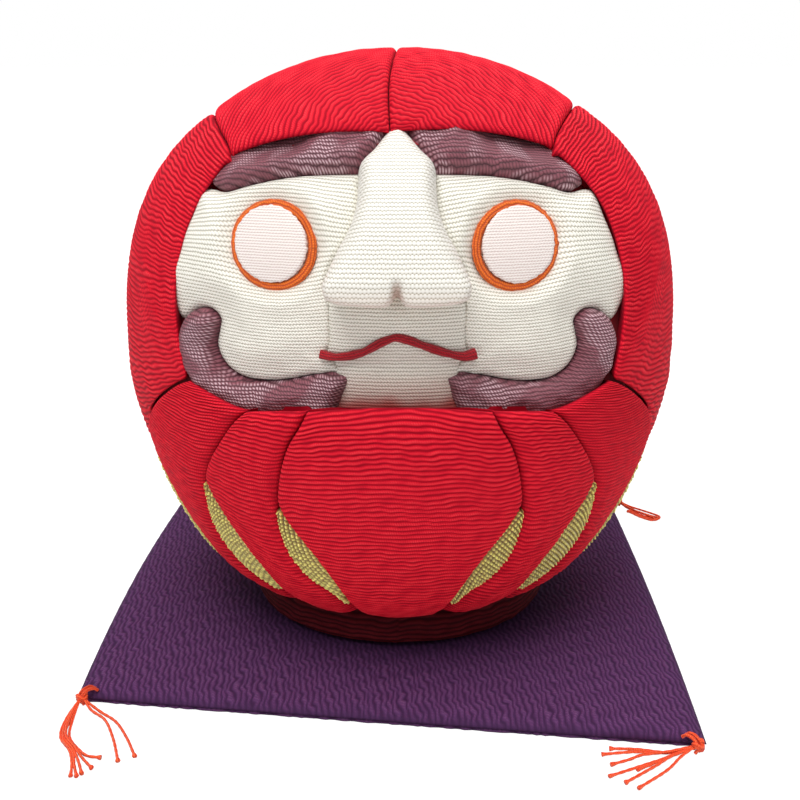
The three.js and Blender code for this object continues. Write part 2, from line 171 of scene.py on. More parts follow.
def lift_to_body(direction, offset):
    """Points on the doll's surface, plus an offset, that lie in these directions from its middle."""
    d = unit(direction)
    elevation = np.arctan2(d[..., 2], np.hypot(d[..., 0], d[..., 1]))
    reach = np.interp(elevation, ELEVATIONS, DISTANCES) + offset
    return MIDDLE + d * reach[..., None]


def groove(points, side):
    """A groove's line, from (azimuth, height) points given for the right side."""
    return smooth_line([on_body(side * a, h) for a, h in points], LINE_POINTS)


def face_depth(x, h):
    """How far the face stands in front of the axis: an arc across, leaning back towards the top."""
    lean = FACE_BEND * np.clip(h - FACE_BEND_HEIGHT, 0, None) ** 2
    return FACE_DEPTH - lean - FACE_CURVE + np.sqrt(FACE_CURVE ** 2 - np.clip(x, -50, 50) ** 2)


def on_face(x, h, proud):
    """Point on the face, `proud` millimetres out along its normal."""
    step = 0.05
    slope_x = (face_depth(x + step, h) - face_depth(x - step, h)) / (2 * step)
    slope_h = (face_depth(x, h + step) - face_depth(x, h - step)) / (2 * step)
    size = np.sqrt(1 + slope_x ** 2 + slope_h ** 2)
    return np.stack([x - slope_x / size * proud, -face_depth(x, h) - proud / size,
                     h - slope_h / size * proud], axis=-1)


# ---- Putting arrays into Blender ----

def new_mesh(name, points, faces, attributes=None, uv=None):
    """A smooth mesh object from points in millimetres and a list of index arrays, each (n, corners)."""
    mesh = bpy.data.meshes.new(name)
    faces = [np.asarray(f, np.int64) for f in faces if len(f)]
    corners = np.concatenate([f.ravel() for f in faces])
    sizes = np.concatenate([np.full(len(f), f.shape[1]) for f in faces])
    mesh.vertices.add(len(points))
    placed = (points + np.array([0, 0, TABLE_TOP])) * MM
    mesh.vertices.foreach_set("co", placed.astype(np.float32).ravel())
    mesh.loops.add(len(corners))
    mesh.loops.foreach_set("vertex_index", corners.astype(np.int32))
    mesh.polygons.add(len(sizes))
    mesh.polygons.foreach_set("loop_start", (np.cumsum(sizes) - sizes).astype(np.int32))
    mesh.polygons.foreach_set("loop_total", sizes.astype(np.int32))
    mesh.update(calc_edges=True)
    mesh.validate()
    if uv is not None:
        layer = mesh.uv_layers.new(name="UVMap")
        layer.data.foreach_set("uv", uv[corners].astype(np.float32).ravel())
    for key, values in (attributes or {}).items():
        layer = mesh.attributes.new(key, "FLOAT", "POINT")
        layer.data.foreach_set("value", values.astype(np.float32).ravel())
    mesh.polygons.foreach_set("use_smooth", np.ones(len(mesh.polygons), bool))
    piece = bpy.data.objects.new(name, mesh)
    bpy.context.scene.collection.objects.link(piece)
    return piece


def ring_faces(rows, columns, flip=False):
    """Quads of a tube of `rows` rings with `columns` points each, and the two end caps."""
    i, j = np.meshgrid(np.arange(rows - 1), np.arange(columns), indexing="ij")
    a, b = i * columns + j, i * columns + (j + 1) % columns
    quads = np.stack([a, b, b + columns, a + columns], axis=-1).reshape(-1, 4)
    first = np.arange(columns)[::-1][None]
    last = np.arange(columns)[None] + (rows - 1) * columns
    if flip:
        quads, first, last = quads[:, ::-1], first[:, ::-1], last[:, ::-1]
    return [quads, first, last]


def dress(piece, body, material, nodes):
    """Gives a piece its material and body, and hides the CAD nodes that it stands for."""
    piece.data.materials.append(material)
    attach(piece, body)
    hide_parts(*nodes)


# ---- Crepe ripples ----

def crepe(along, across, seed, pitch=CREPE_PITCH, wander=0.26, jitter=0.1):
    """(height, crest) of crepe cloth: wavy ridges `pitch` apart, which fade in and out along their length.

    The ridge is a sine of the distance across, shifted by slow noise of size `wander` and by quicker noise
    of size `jitter`; crest is 0 in a valley and 1 on top.
    """
    shift = wander * waves(along, across * 0.6, seed, 7.0) + jitter * waves(along, across, seed + 1, 2.2)
    phase = 2 * np.pi * (across + shift) / pitch
    crest = 0.5 + 0.5 * np.sin(phase)
    strength = np.clip(0.85 + 0.22 * waves(along, across, seed + 2, 3.0), 0.35, 1.15)
    return crest ** 1.2 * strength, crest * np.clip(strength, 0, 1)


SKIRT_STEPS = 3


def spread(count, lean=0.0):
    """(share, first skirt, last skirt): `count` shares from 0 to 1 that crowd gently towards both ends.

    `lean` crowds them further towards 1. Beyond each end the share stays, and that end's skirt goes from
    0 to 1 in SKIRT_STEPS steps.
    """
    t = np.linspace(0, 1, count)
    t = t + lean * t * (1 - t)
    t = 0.6 * t + 0.4 * (0.5 - 0.5 * np.cos(np.pi * t))
    share = np.concatenate([np.zeros(SKIRT_STEPS), t, np.ones(SKIRT_STEPS)])
    skirt, flat = np.linspace(1, 1 / SKIRT_STEPS, SKIRT_STEPS), np.zeros(count + SKIRT_STEPS)
    return share, np.concatenate([skirt, flat]), np.concatenate([flat, skirt[::-1]])


def round_over(distance, radius):
    """Quarter circle that rises from 0 at an edge to 1 at `radius` from it."""
    t = np.clip(1 - distance / radius, 0, 1)
    return np.sqrt(1 - t * t)


def strip_mesh(name, front, backing, crest, thread_along, thread_across):
    """Closed cloth from its front and its plain back, row by row; crest and threads are the front's."""
    rings = np.concatenate([front, backing], axis=1)
    crest, *threads = (np.concatenate([part, np.zeros(backing.shape[:2])], axis=1)
                       for part in (crest, thread_along, thread_across))
    return new_mesh(name, rings.reshape(-1, 3), ring_faces(*rings.shape[:2]), {"crest": crest},
                    np.stack(threads, axis=-1).reshape(-1, 2))


CRISP = (0.8, 0.7)              # (width, drop) of a panel edge that stands over its groove
DIP = (3.6, 1.3)                # of one that slopes down into it
RIM = (2.2, 0.8)                # round the face
HOOD_RIM = (4.6, 2.6)           # over the brows
HOOD_SEAM = (1.6, 0.9)          # along the seam with the side panel
TOP_ROLL = (2.0, 1.3)           # under the chin
PANEL_MARGIN = 0.04             # how far a panel's sides stay from its lines
PANEL_BULGE = 0.35              # how much further out a panel's middle stands than its sides
PANEL_SINK = 0.2                # how far the sides lie under the doll's surface
PANEL_BACK = 3.4                # how far the hidden back does
FACE_TUCK = (1.2, 9)            # least and greatest depth of the skirt that folds in to the face


def panel(name, left, right, grid, ripple, face_edges=(0, 0, 0, 0),
          rolls=(CRISP, CRISP, CRISP, TOP_ROLL), fold=(0, 1, 0), arch=0.0, lean=0.0):
    """A padded cloth panel between two lines on the doll's surface.

    Row by row, directions run straight from the left line to the right one and are moved out to the
    surface. Each edge falls away as a quarter ellipse, (width, drop) in `rolls` for the left, right,
    bottom and top edges, and then goes down as a skirt: into its groove along the ray to the doll's
    middle, or along `fold` to the face where face_edges, in the same order, is 1.

    ripple(points, along, across) gives the crepe's height, crest and two thread coordinates; `arch` lifts
    the top edge's middle; `lean` crowds the rows towards the top.
    """
    columns, rows = grid
    u, skirt_left, skirt_right = spread(columns)
    v, skirt_bottom, skirt_top = spread(rows, lean)
    start, end = (points_at(line, np.arange(len(line)), v * (len(line) - 1)) for line in (left, right))
    inset = np.minimum(0.3, PANEL_MARGIN / np.linalg.norm(end - start, axis=1)[:, None])
    share = inset + (1 - 2 * inset) * u[None, :]
    direction = start[:, None] * (1 - share[..., None]) + end[:, None] * share[..., None] - MIDDLE
    direction[..., 2] += arch * (1 - (2 * share - 1) ** 2) * v[:, None] ** 4
    low = (BASE_HEIGHT - WAIST_HEIGHT) / np.interp(BASE_HEIGHT, HEIGHTS, RADII)
    direction[..., 2] = np.maximum(direction[..., 2], low * np.hypot(direction[..., 0], direction[..., 1]))
    flat = lift_to_body(direction, 0)
    run, cross = travelled(flat, 0), travelled(flat, 1)
    height, crest, thread_along, thread_across = ripple(flat, cross - cross[:, -1:] / 2, run)
    away = [cross, cross[:, -1:] - cross, run, run[-1:] - run]
    skirts = [skirt_left[None, :], skirt_right[None, :], skirt_bottom[:, None], skirt_top[:, None]]
    rounding = [1 - round_over(distance, width) for distance, (width, _) in zip(away, rolls)]
    calm = np.clip(1 - 0.85 * np.maximum.reduce(rounding) ** 1.5, 0.1, 1)
    plump = PANEL_BULGE * (1 - (2 * share - 1) ** 2)
    points = lift_to_body(direction, plump - PANEL_SINK + CREPE_DEPTH * height * calm)
    inward = -unit(points - MIDDLE)
    back = np.broadcast_to(unit(np.array(fold, float)), points.shape)
    to_face = np.clip(-points[..., 1] - face_depth(points[..., 0], points[..., 2]) + 0.8, *FACE_TUCK)
    for fall, skirt, share_face, (_, drop) in zip(rounding, skirts, face_edges, rolls):
        share_face = np.broadcast_to(np.asarray(share_face, float), fall.shape)[..., None]
        toward = inward * (1 - share_face) + back * share_face
        depth = drop * (1 - share_face[..., 0]) + to_face * share_face[..., 0]
        first = np.minimum(drop, depth)
        points = points + toward * (first * fall + (depth - first + 1.0) * skirt)[..., None]
    under = np.linspace(1, 0, 10)[1:-1, None]
    backing = lift_to_body(start[:, None] * (1 - under) + end[:, None] * under - MIDDLE, -PANEL_BACK)
    return strip_mesh(name, points, backing, crest * calm, thread_along, thread_across)


# ---- Materials ----

class Shader:
    """A short way to write a Principled material's nodes."""

    def __init__(self, name, **fixed):
        self.material = bpy.data.materials.new(name)
        self.material.use_nodes = True
        self.tree = self.material.node_tree
        self.surface = self.tree.nodes["Principled BSDF"]
        for key, value in fixed.items():
            self.surface.inputs[key.replace("_", " ")].default_value = value

    def node(self, kind, *links, **settings):
        made = self.tree.nodes.new(kind)
        for key, value in settings.items():
            if hasattr(made, key):
                setattr(made, key, value)
            else:
                made.inputs[key.replace("_", " ")].default_value = value
        for i, link in enumerate(links):
            self.feed(made.inputs[i], link)
        return made.outputs[0]

    def feed(self, socket, value):
        if isinstance(value, bpy.types.NodeSocket):
            self.tree.links.new(value, socket)
        elif value is not None:
            socket.default_value = value

    def math(self, operation, *values):
        return self.node("ShaderNodeMath", *values, operation=operation)

    def mix(self, factor, a, b):
        made = self.tree.nodes.new("ShaderNodeMix")
        made.data_type = "RGBA"
        self.feed(made.inputs[0], factor)
        self.feed(made.inputs[6], a)
        self.feed(made.inputs[7], b)
        return made.outputs[2]

    def attribute(self, name):
        made = self.tree.nodes.new("ShaderNodeAttribute")
        made.attribute_name = name
        return made.outputs["Fac"]

    def uv(self):
        made = self.tree.nodes.new("ShaderNodeUVMap")
        made.uv_map = "UVMap"
        return made.outputs[0]

    def place(self):
        return self.tree.nodes.new("ShaderNodeTexCoord").outputs["Object"]

    def noise(self, vector, scale, detail=2.0):
        return self.node("ShaderNodeTexNoise", vector, Scale=scale, Detail=detail)

    def group(self, tree, **values):
        made = self.tree.nodes.new("ShaderNodeGroup")
        made.node_tree = tree
        for key, value in values.items():
            self.feed(made.inputs[key.replace("_", " ")], value)
        return made.outputs

    def bump(self, height, strength, distance):
        made = self.tree.nodes.new("ShaderNodeBump")
        made.inputs["Strength"].default_value = strength
        made.inputs["Distance"].default_value = distance
        self.feed(made.inputs["Height"], height)
        self.feed(self.surface.inputs["Normal"], made.outputs[0])

    def colour(self, value):
        self.feed(self.surface.inputs["Base Color"], value)
        return self


def srgb(r, g, b):
    """A screen colour, 0 to 255, as linear light."""
    c = np.array([r, g, b]) / 255
    linear = np.where(c <= 0.04045, c / 12.92, ((c + 0.055) / 1.055) ** 2.4)
    return (*linear, 1.0)


def group_of(name, inputs, outputs):
    """An empty shader node group, with its input and output nodes."""
    tree = bpy.data.node_groups.new(name, "ShaderNodeTree")
    for label, kind, value in inputs:
        socket = tree.interface.new_socket(label, in_out="INPUT", socket_type=kind)
        if value is not None:
            socket.default_value = value
    for label, kind in outputs:
        tree.interface.new_socket(label, in_out="OUTPUT", socket_type=kind)
    return tree, tree.nodes.new("NodeGroupInput"), tree.nodes.new("NodeGroupOutput")


def weave_group():
    """Woven threads: rows a pitch apart, each a string of slanted beads, every other row set over by half.

    Row and Bead are rectified sines of the turns up and across, Height is their product, and Gap is 1 in
    the small hole that is left between two rows and two beads.
    """
    tree, given, result = group_of("woven_rows", [
        ("UV", "NodeSocketVector", None), ("Pitch Across", "NodeSocketFloat", 0.4),
        ("Pitch Up", "NodeSocketFloat", 0.4), ("Slant", "NodeSocketFloat", 0.5),
        ("Unevenness", "NodeSocketFloat", 0.3)],
        [(label, "NodeSocketFloat") for label in ("Height", "Bead", "Row", "Gap")])
    link, new = tree.links.new, tree.nodes.new

    def math_node(operation, *values):
        made = new("ShaderNodeMath")
        made.operation = operation
        for i, value in enumerate(values):
            if isinstance(value, bpy.types.NodeSocket):
                link(value, made.inputs[i])
            else:
                made.inputs[i].default_value = value
        return made.outputs[0]

    split = new("ShaderNodeSeparateXYZ")
    link(given.outputs["UV"], split.inputs[0])
    across, up = split.outputs[0], split.outputs[1]
    noise = new("ShaderNodeTexNoise")
    noise.inputs["Scale"].default_value = 0.9
    link(given.outputs["UV"], noise.inputs["Vector"])
    drift = math_node("MULTIPLY", math_node("SUBTRACT", noise.outputs[0], 0.5),
                      given.outputs["Unevenness"])
    row_turns = math_node("ADD", math_node("DIVIDE", up, given.outputs["Pitch Up"]), drift)
    row = math_node("ABSOLUTE", math_node("SINE", math_node("MULTIPLY", row_turns, math.pi)))
    over = math_node("MULTIPLY", math_node("FLOOR", row_turns), 0.5)
    slanted = math_node("MULTIPLY", row_turns, given.outputs["Slant"])
    plain_turns = math_node("DIVIDE", across, given.outputs["Pitch Across"])
    bead_turns = math_node("ADD", math_node("ADD", plain_turns, over), slanted)
    bead = math_node("ABSOLUTE", math_node("SINE", math_node("MULTIPLY", bead_turns, math.pi)))
    shaped = math_node("MULTIPLY_ADD", math_node("POWER", bead, 0.7), 0.6, 0.4)
    link(math_node("MULTIPLY", math_node("POWER", row, 0.7), shaped), result.inputs["Height"])
    link(bead, result.inputs["Bead"])
    link(row, result.inputs["Row"])
    gap = math_node("MULTIPLY", math_node("SUBTRACT", 1.0, row), math_node("SUBTRACT", 1.0, bead))
    link(gap, result.inputs["Gap"])
    return tree


WEAVE = weave_group()


def crepe_cloth(name, valley, middle, crest, bead=0.3, roughness=0.75, sheen=(1, 0.2, 0.3, 1)):
    """Crepe: painted shade darkens the valleys, and painted highlights lighten the crests and the beads of
    twisted thread along them.
    """
    s = Shader(name, Roughness=roughness, Sheen_Weight=0.04, Sheen_Roughness=0.4, Sheen_Tint=sheen,
               Specular_IOR_Level=0.12)
    top = s.attribute("crest")
    weave = s.group(WEAVE, UV=s.uv(), Pitch_Across=bead, Pitch_Up=CREPE_PITCH, Slant=0.9, Unevenness=0.6)
    # Painted shade: the valley colour where the crest is low.
    tone = s.mix(s.math("SMOOTH_MIN", s.math("MULTIPLY", top, 1.9), 1.0, 0.2), srgb(*valley), srgb(*middle))
    beads = s.math("MULTIPLY_ADD", s.math("POWER", weave["Bead"], 1.5), 0.85, 0.15)
    # Painted highlight on the crests, strongest on the beads.
    painted_highlight = s.math("MULTIPLY", s.math("POWER", top, 2.0), beads)
    tone = s.mix(painted_highlight, tone, srgb(*crest))
    patchy = s.noise(s.place(), 160.0)
    tone = s.mix(s.math("MULTIPLY", patchy, 0.16), tone, srgb(*valley))
    s.colour(tone)
    s.bump(s.math("MULTIPLY", weave["Bead"], top), 0.5, 0.00015)
    return s.material


# Colours of each crepe: painted shade in the valleys, the cloth's own colour, painted highlight on the
# crests.
RED_CREPE = crepe_cloth("red_crepe", (142, 0, 24), (220, 0, 38), (255, 68, 76))
# The red crepe darkened by painted shade, for the foot in the shadow under the belly.
SHADED_FOOT_CREPE = crepe_cloth("shaded_foot_crepe", (52, 4, 12), (84, 8, 20), (116, 30, 34))
PURPLE_CREPE = crepe_cloth("purple_crepe", (56, 29, 63), (84, 46, 92), (116, 74, 118), bead=0.45,
                           sheen=(0.8, 0.6, 0.9, 1))


# Red of a painted reflection of the belly cloth on the chin.
RED_REFLECTION = (176, 14, 36)
# Brownish colour of dye bled from the eye rings, and of painted shade round the eyes, under the nose and on
# the chin.
BLEED_AND_SHADE = (196, 150, 128)
BRIGHT_GLINT = (250, 226, 234)


def silk_cloth(name, base, shade, pitch, slant, roughness=0.5, lines=0.3, contrast=1.0, depth=0.0002):
    """Fine silk on the face: pale beads of thread, darker in the holes and, by `lines`, between the rows."""
    s = Shader(name, Roughness=roughness, Sheen_Weight=0.1, Sheen_Roughness=0.4, Specular_IOR_Level=0.45)
    weave = s.group(WEAVE, UV=s.uv(), Pitch_Across=pitch[0], Pitch_Up=pitch[1], Slant=slant, Unevenness=0.4)
    between = s.math("POWER", s.math("SUBTRACT", 1.0, weave["Row"]), 1.5)
    dark = s.math("MULTIPLY_ADD", between, lines, s.math("MULTIPLY", weave["Gap"], contrast))
    tone = s.mix(s.math("SMOOTH_MIN", dark, 1.0, 0.1), srgb(*base), srgb(*shade))
    # Painted reflection of the red belly cloth, where a pad marks it.
    tone = s.mix(s.attribute("painted_red_reflection"), tone, srgb(*RED_REFLECTION))
    # Painted shade, with some dye bled from the eye rings, where a pad marks it.
    tone = s.mix(s.attribute("bleed_and_shade"), tone, srgb(*BLEED_AND_SHADE))
    s.colour(tone)
    s.bump(weave["Height"], 0.6, depth)
    return s.material


CREAM_SILK = silk_cloth("cream_silk", (248, 245, 235), (150, 142, 118), (0.4, 0.46), 0.8, lines=0.26,
                        contrast=1.4)
NOSE_SILK = silk_cloth("nose_silk", (236, 233, 226), (140, 130, 100), (0.44, 0.4), 0.0, lines=0.04,
                       contrast=1.5, depth=0.00012)
WHITE_CLOTH = silk_cloth("white_cloth", (242, 234, 229), (176, 136, 132), (0.4, 0.34), 1.0, 0.85,
                         depth=0.0001)


def plain_thread(name, dark, light, roughness, pitch, slant=0.5, glints=0.0, depth=0.0002):
    """Cloth or thread whose weave shows as light and dark, with brighter glints of thread in patches."""
    s = Shader(name, Roughness=roughness, Sheen_Weight=0.08, Specular_IOR_Level=0.4)
    weave = s.group(WEAVE, UV=s.uv(), Pitch_Across=pitch[0], Pitch_Up=pitch[1], Slant=slant, Unevenness=1.0)
    patchy = s.noise(s.place(), 300.0)
    tone = s.mix(weave["Height"], srgb(*dark), srgb(*light))
    tone = s.mix(s.math("MULTIPLY", patchy, 0.35), tone, srgb(*dark))
    if glints:
        shiny = s.math("SUBTRACT", s.noise(s.place(), 240.0, 1.0), 0.46)
        shiny = s.math("MINIMUM", s.math("MAXIMUM", s.math("MULTIPLY", shiny, 7.0), 0.0), 1.0)
        sharp = s.math("POWER", s.math("MULTIPLY", weave["Bead"], weave["Row"]), 2.2)
        painted_highlight = s.math("MULTIPLY", s.math("MULTIPLY", shiny, sharp), glints)
        tone = s.mix(painted_highlight, tone, srgb(*BRIGHT_GLINT))
    s.colour(tone)
    s.bump(weave["Height"], 0.7, depth)
    return s.material


MAUVE_CREPE = plain_thread("mauve_crepe", (54, 10, 26), (160, 94, 106), 0.5, (0.4, 0.42), 0.9, glints=0.6)
ORANGE_EDGE = plain_thread("orange_edge", (170, 34, 2), (255, 128, 20), 0.6, (0.3, 0.4))
RED_CORD = plain_thread("red_cord", (110, 0, 18), (214, 8, 36), 0.6, (0.35, 0.4), 1.0, depth=0.0003)
TASSEL_THREAD = plain_thread("tassel_thread", (240, 44, 4), (255, 108, 48), 0.5, (0.3, 0.4))


def gold_brocade():
    """Flat gold thread: a painted highlight where its beads stand up, and painted shade, dark brown-green,
    between them.
    """
    s = Shader("gold_brocade", Roughness=0.3, Metallic=0.2, Specular_IOR_Level=0.8)
    bead = s.attribute("crest")
    # Painted highlight on the bead tops, painted shade between them.
    s.colour(s.mix(s.math("POWER", bead, 1.1), srgb(92, 48, 8), srgb(255, 244, 136)))
    s.bump(bead, 0.5, 0.0002)
    return s.material


GOLD_BROCADE = gold_brocade()


def dull(name, base):
    """A matt fibre board or card: a base colour with soft speckles."""
    s = Shader(name, Roughness=0.9)
    speckle = s.noise(s.place(), 400.0, 4.0)
    s.colour(s.mix(speckle, srgb(*[c * 0.7 for c in base]), srgb(*base)))
    s.bump(speckle, 0.4, 0.0003)
    return s.material


# ---- The red cloth ----

INNER_GROOVE = [(13, BASE_HEIGHT), (17.9, 11.6), (22.7, 14.0), (25.6, 17.6), (26.4, 21.4), (26.4, 24.2),
                (25.5, 27.7), (24.4, 30.2), (22.9, 33.4), (21.0, 36.5), (18.4, 39.4), (16.9, 41.6)]
CENTRE_EDGE = [(12.2, BASE_HEIGHT), (15.0, 11.4), (17.3, 15.3), (19.5, 18.7), (21.8, 21.6), (24.1, 24.6),
               (25.2, 27.4), (24.3, 30.2), (22.8, 33.4), (20.9, 36.5), (18.3, 39.4), (16.8, 41.6)]
OUTER_GROOVE = [(35, BASE_HEIGHT), (42.1, 10.2), (47.5, 12.4), (50.1, 15.4), (50.1, 18.4), (48.7, 21.8),
                (46.4, 25.6), (44.9, 27.8), (43.5, 29.4), (40.6, 32), (36.4, 35.4), (32.4, 38.6),
                (29.2, 40.6)]
INNER_EDGE = [(32.0, BASE_HEIGHT), (35.8, 10.8), (37.0, 13.8), (38.8, 16.8), (40.7, 20.5), (42.4, 23.6),
              (43.8, 26.4), (44.1, 28), (43.2, 29.5), (40.5, 32), (36.3, 35.4), (32.3, 38.6), (29.1, 40.6)]
SIDE_GROOVE = [(58, BASE_HEIGHT), (69, 12), (77, 17), (77, 24), (70.2, 30.3), (61.05, 35.75), (52.65, 39.75),
               (47.05, 42.05), (43.0, 43.3)]
OUTER_EDGE = [(56, BASE_HEIGHT), (64.6, 12), (70.8, 17.5), (72.6, 24), (69.6, 30.2), (61, 35.7),
              (52.6, 39.7), (47, 42.0), (42.8, 43.2)]
LOWER_RIM = SIDE_GROOVE[:-1] + [(43.9, 43.3), (44.4, 45.4), (45.8, 48.8), (47.5, 54.8), (47.4, 61.2)]
FACE_RIM = {"left": LOWER_RIM + [(46.3, 66.4), (43.4, 71.0)],
            "right": LOWER_RIM + [(45.7, 66.8), (39.9, 72.1)]}
HOOD_BACK = [(150, BASE_HEIGHT), (152, 25), (150, 45)]
HOOD_GROOVE = {
    "left": HOOD_BACK + [(142, 59.5), (125, 70), (98, 75.4), (69.3, 75.6), (57.3, 74.5), (49, 73.2),
                         (43.2, 71.4)],
    "right": HOOD_BACK + [(142, 60), (125, 71), (98, 76.6), (68.6, 77), (54.5, 75.9), (45.1, 74.3),
                          (39.7, 72.4)],
}
TOP_SEAM = [(180, BASE_HEIGHT), (180, 25), (180, 45), (180, 60), (180, 73), (180, 82), (-13, 84.9),
            (-4.6, 80.9), (-2.5, 74.8)]
LEDGE_FOLD = (0, 1, -0.32)      # the way the belly cloths turn in under the face
HOOD_FOLD = (0, 1, 0.1)         # and the hood over it
TOP_ARCH, INNER_ARCH, OUTER_ARCH = 1.1, 0.3, 0.2    # how far the middle of a belly panel's top edge rises
SIDE_GRID, BACK_GRID = (180, 760), (180, 640)

HOOD_FOCUS = (3.0, 36.0, 71.5)  # centre of the hood's arcs: beyond its seam, in front of the axis, and up
HOOD_SQUASH = 0.55              # share of the distances from front to back that the arcs count
HOOD_REACH = 20.0               # where a thread's length along an arc is true
FACE_MIDDLE = 56.0              # height of the point that the side panels' ridges run out from
SIDE_REACH = 36.0               # where the distance between them is true


def level_ripples(seed, tilt=0.0):
    """Ridges level across a panel, or rising by `tilt`."""
    def ripple(points, along, across):
        level = across + tilt * along
        return *crepe(along, level, seed), along, level
    return ripple


def hood_ripples(seed, side):
    """Ridges as arcs round a point on the hood's rim beyond the top seam, so that they meet in chevrons."""
    def ripple(points, along, across):
        x = points[..., 0] + HOOD_FOCUS[0] * side
        rise = np.hypot(HOOD_SQUASH * (points[..., 1] + HOOD_FOCUS[1]), points[..., 2] - HOOD_FOCUS[2])
        reach, turned = np.hypot(x, rise), np.arctan2(rise, x) * HOOD_REACH
        return *crepe(turned, reach, seed, pitch=0.7, wander=0.4, jitter=0.14), turned, reach
    return ripple


def side_ripples(seed):
    """Ridges that run straight out from the face's middle."""
    def ripple(points, along, across):
        rise = points[..., 2] - FACE_MIDDLE
        turned = np.arctan2(rise, np.abs(points[..., 0])) * SIDE_REACH
        reach = np.hypot(rise, points[..., 0])
        ridge, crest = crepe(reach, turned, seed, pitch=0.68, wander=0.3, jitter=0.14)
        return 0.8 * ridge, crest, reach, turned
    return ripple


def red_cloth():
    """The nine panels of the robe and hood."""
    lines = {name: {side: groove(points, side) for _, side in SIDES} for name, points in (
        ("inner", INNER_GROOVE), ("centre_edge", CENTRE_EDGE), ("outer", OUTER_GROOVE),
        ("inner_edge", INNER_EDGE), ("outer_edge", OUTER_EDGE))}
    for name, by_side in (("rim", FACE_RIM), ("hood", HOOD_GROOVE)):
        lines[name] = {side: groove(by_side[word], side) for word, side in SIDES}
    lines["top"] = dict.fromkeys((-1.0, 1.0), groove(TOP_SEAM, 1))
    beside_face = smoothstep(spread(SIDE_GRID[1])[0], 0.45, 0.50)[:, None]

    def lay(name, near, far, side, grid, ripple, face=(0, 0, 0, 0), fold=(0, 1, 0),
            rolls=(DIP, CRISP, CRISP, TOP_ROLL), **others):
        """One panel, from its edge nearer the middle line to its further one, on either side."""
        edges, shapes = list(face), list(rolls)
        a, b = lines[near][side], lines[far][side]
        if side < 0:
            a, b = b, a
            edges, shapes = [edges[1], edges[0], *edges[2:]], [shapes[1], shapes[0], *shapes[2:]]
        made = panel(name, a, b, grid, ripple, edges, shapes, fold=fold, **others)
        dress(made, "doll", RED_CREPE, [name])

    centre = panel("belly_panel_centre", lines["centre_edge"][-1.0], lines["centre_edge"][1.0], (130, 240),
                   level_ripples(3), (0, 0, 0, 1), fold=LEDGE_FOLD, arch=TOP_ARCH)
    dress(centre, "doll", RED_CREPE, ["belly_panel_centre"])
    for i, (word, side) in enumerate(SIDES):
        lay(f"belly_panel_inner_{word}", "inner", "inner_edge", side, (90, 230), level_ripples(13 + i, 0.1),
            (0, 0, 0, 1), LEDGE_FOLD, arch=INNER_ARCH)
        lay(f"belly_panel_outer_{word}", "outer", "outer_edge", side, (100, 230), level_ripples(23 + i, 0.2),
            (0, 0, 0, 1), LEDGE_FOLD, arch=OUTER_ARCH)
        lay(f"side_panel_{word}", "rim", "hood", side, SIDE_GRID, side_ripples(33 + i),
            (beside_face, 0, 0, 0), rolls=(RIM, CRISP, CRISP, CRISP))
        lay(f"back_panel_{word}", "top", "hood", side, BACK_GRID, hood_ripples(43 + i, side), (0, 0, 0, 1),
            HOOD_FOLD, rolls=(CRISP, HOOD_SEAM, CRISP, HOOD_RIM), lean=0.45)


red_cloth()


# ---- Pads on the face ----

def outline_distance(x, h, outline):
    """(distance inside a closed outline, nearest point on it) for each point; negative outside.

    The distance is to the nearest edge, and a point is inside when a line to the right crosses the
    outline an odd number of times.
    """
    a, b = outline, np.roll(outline, -1, axis=0)
    p = np.stack([x, h], axis=-1)[:, None, :]
    edge = (b - a)[None]
    t = np.clip(((p - a) * edge).sum(-1) / np.maximum((edge ** 2).sum(-1), 1e-12), 0, 1)
    near = a + t[..., None] * edge
    gap = np.linalg.norm(p - near, axis=-1)
    best = gap.argmin(axis=1)
    every = np.arange(len(x))
    straddles = (a[:, 1] > h[:, None]) != (b[:, 1] > h[:, None])
    rise = np.where(np.abs(edge[..., 1]) < 1e-9, 1e-9, edge[..., 1])
    crossing = a[:, 0] + (h[:, None] - a[:, 1]) * edge[..., 0] / rise
    inside = (straddles & (x[:, None] < crossing)).sum(axis=1) % 2 == 1
    return np.where(inside, 1, -1) * gap[every, best], near[every, best]


PAD_BACK = -1.6


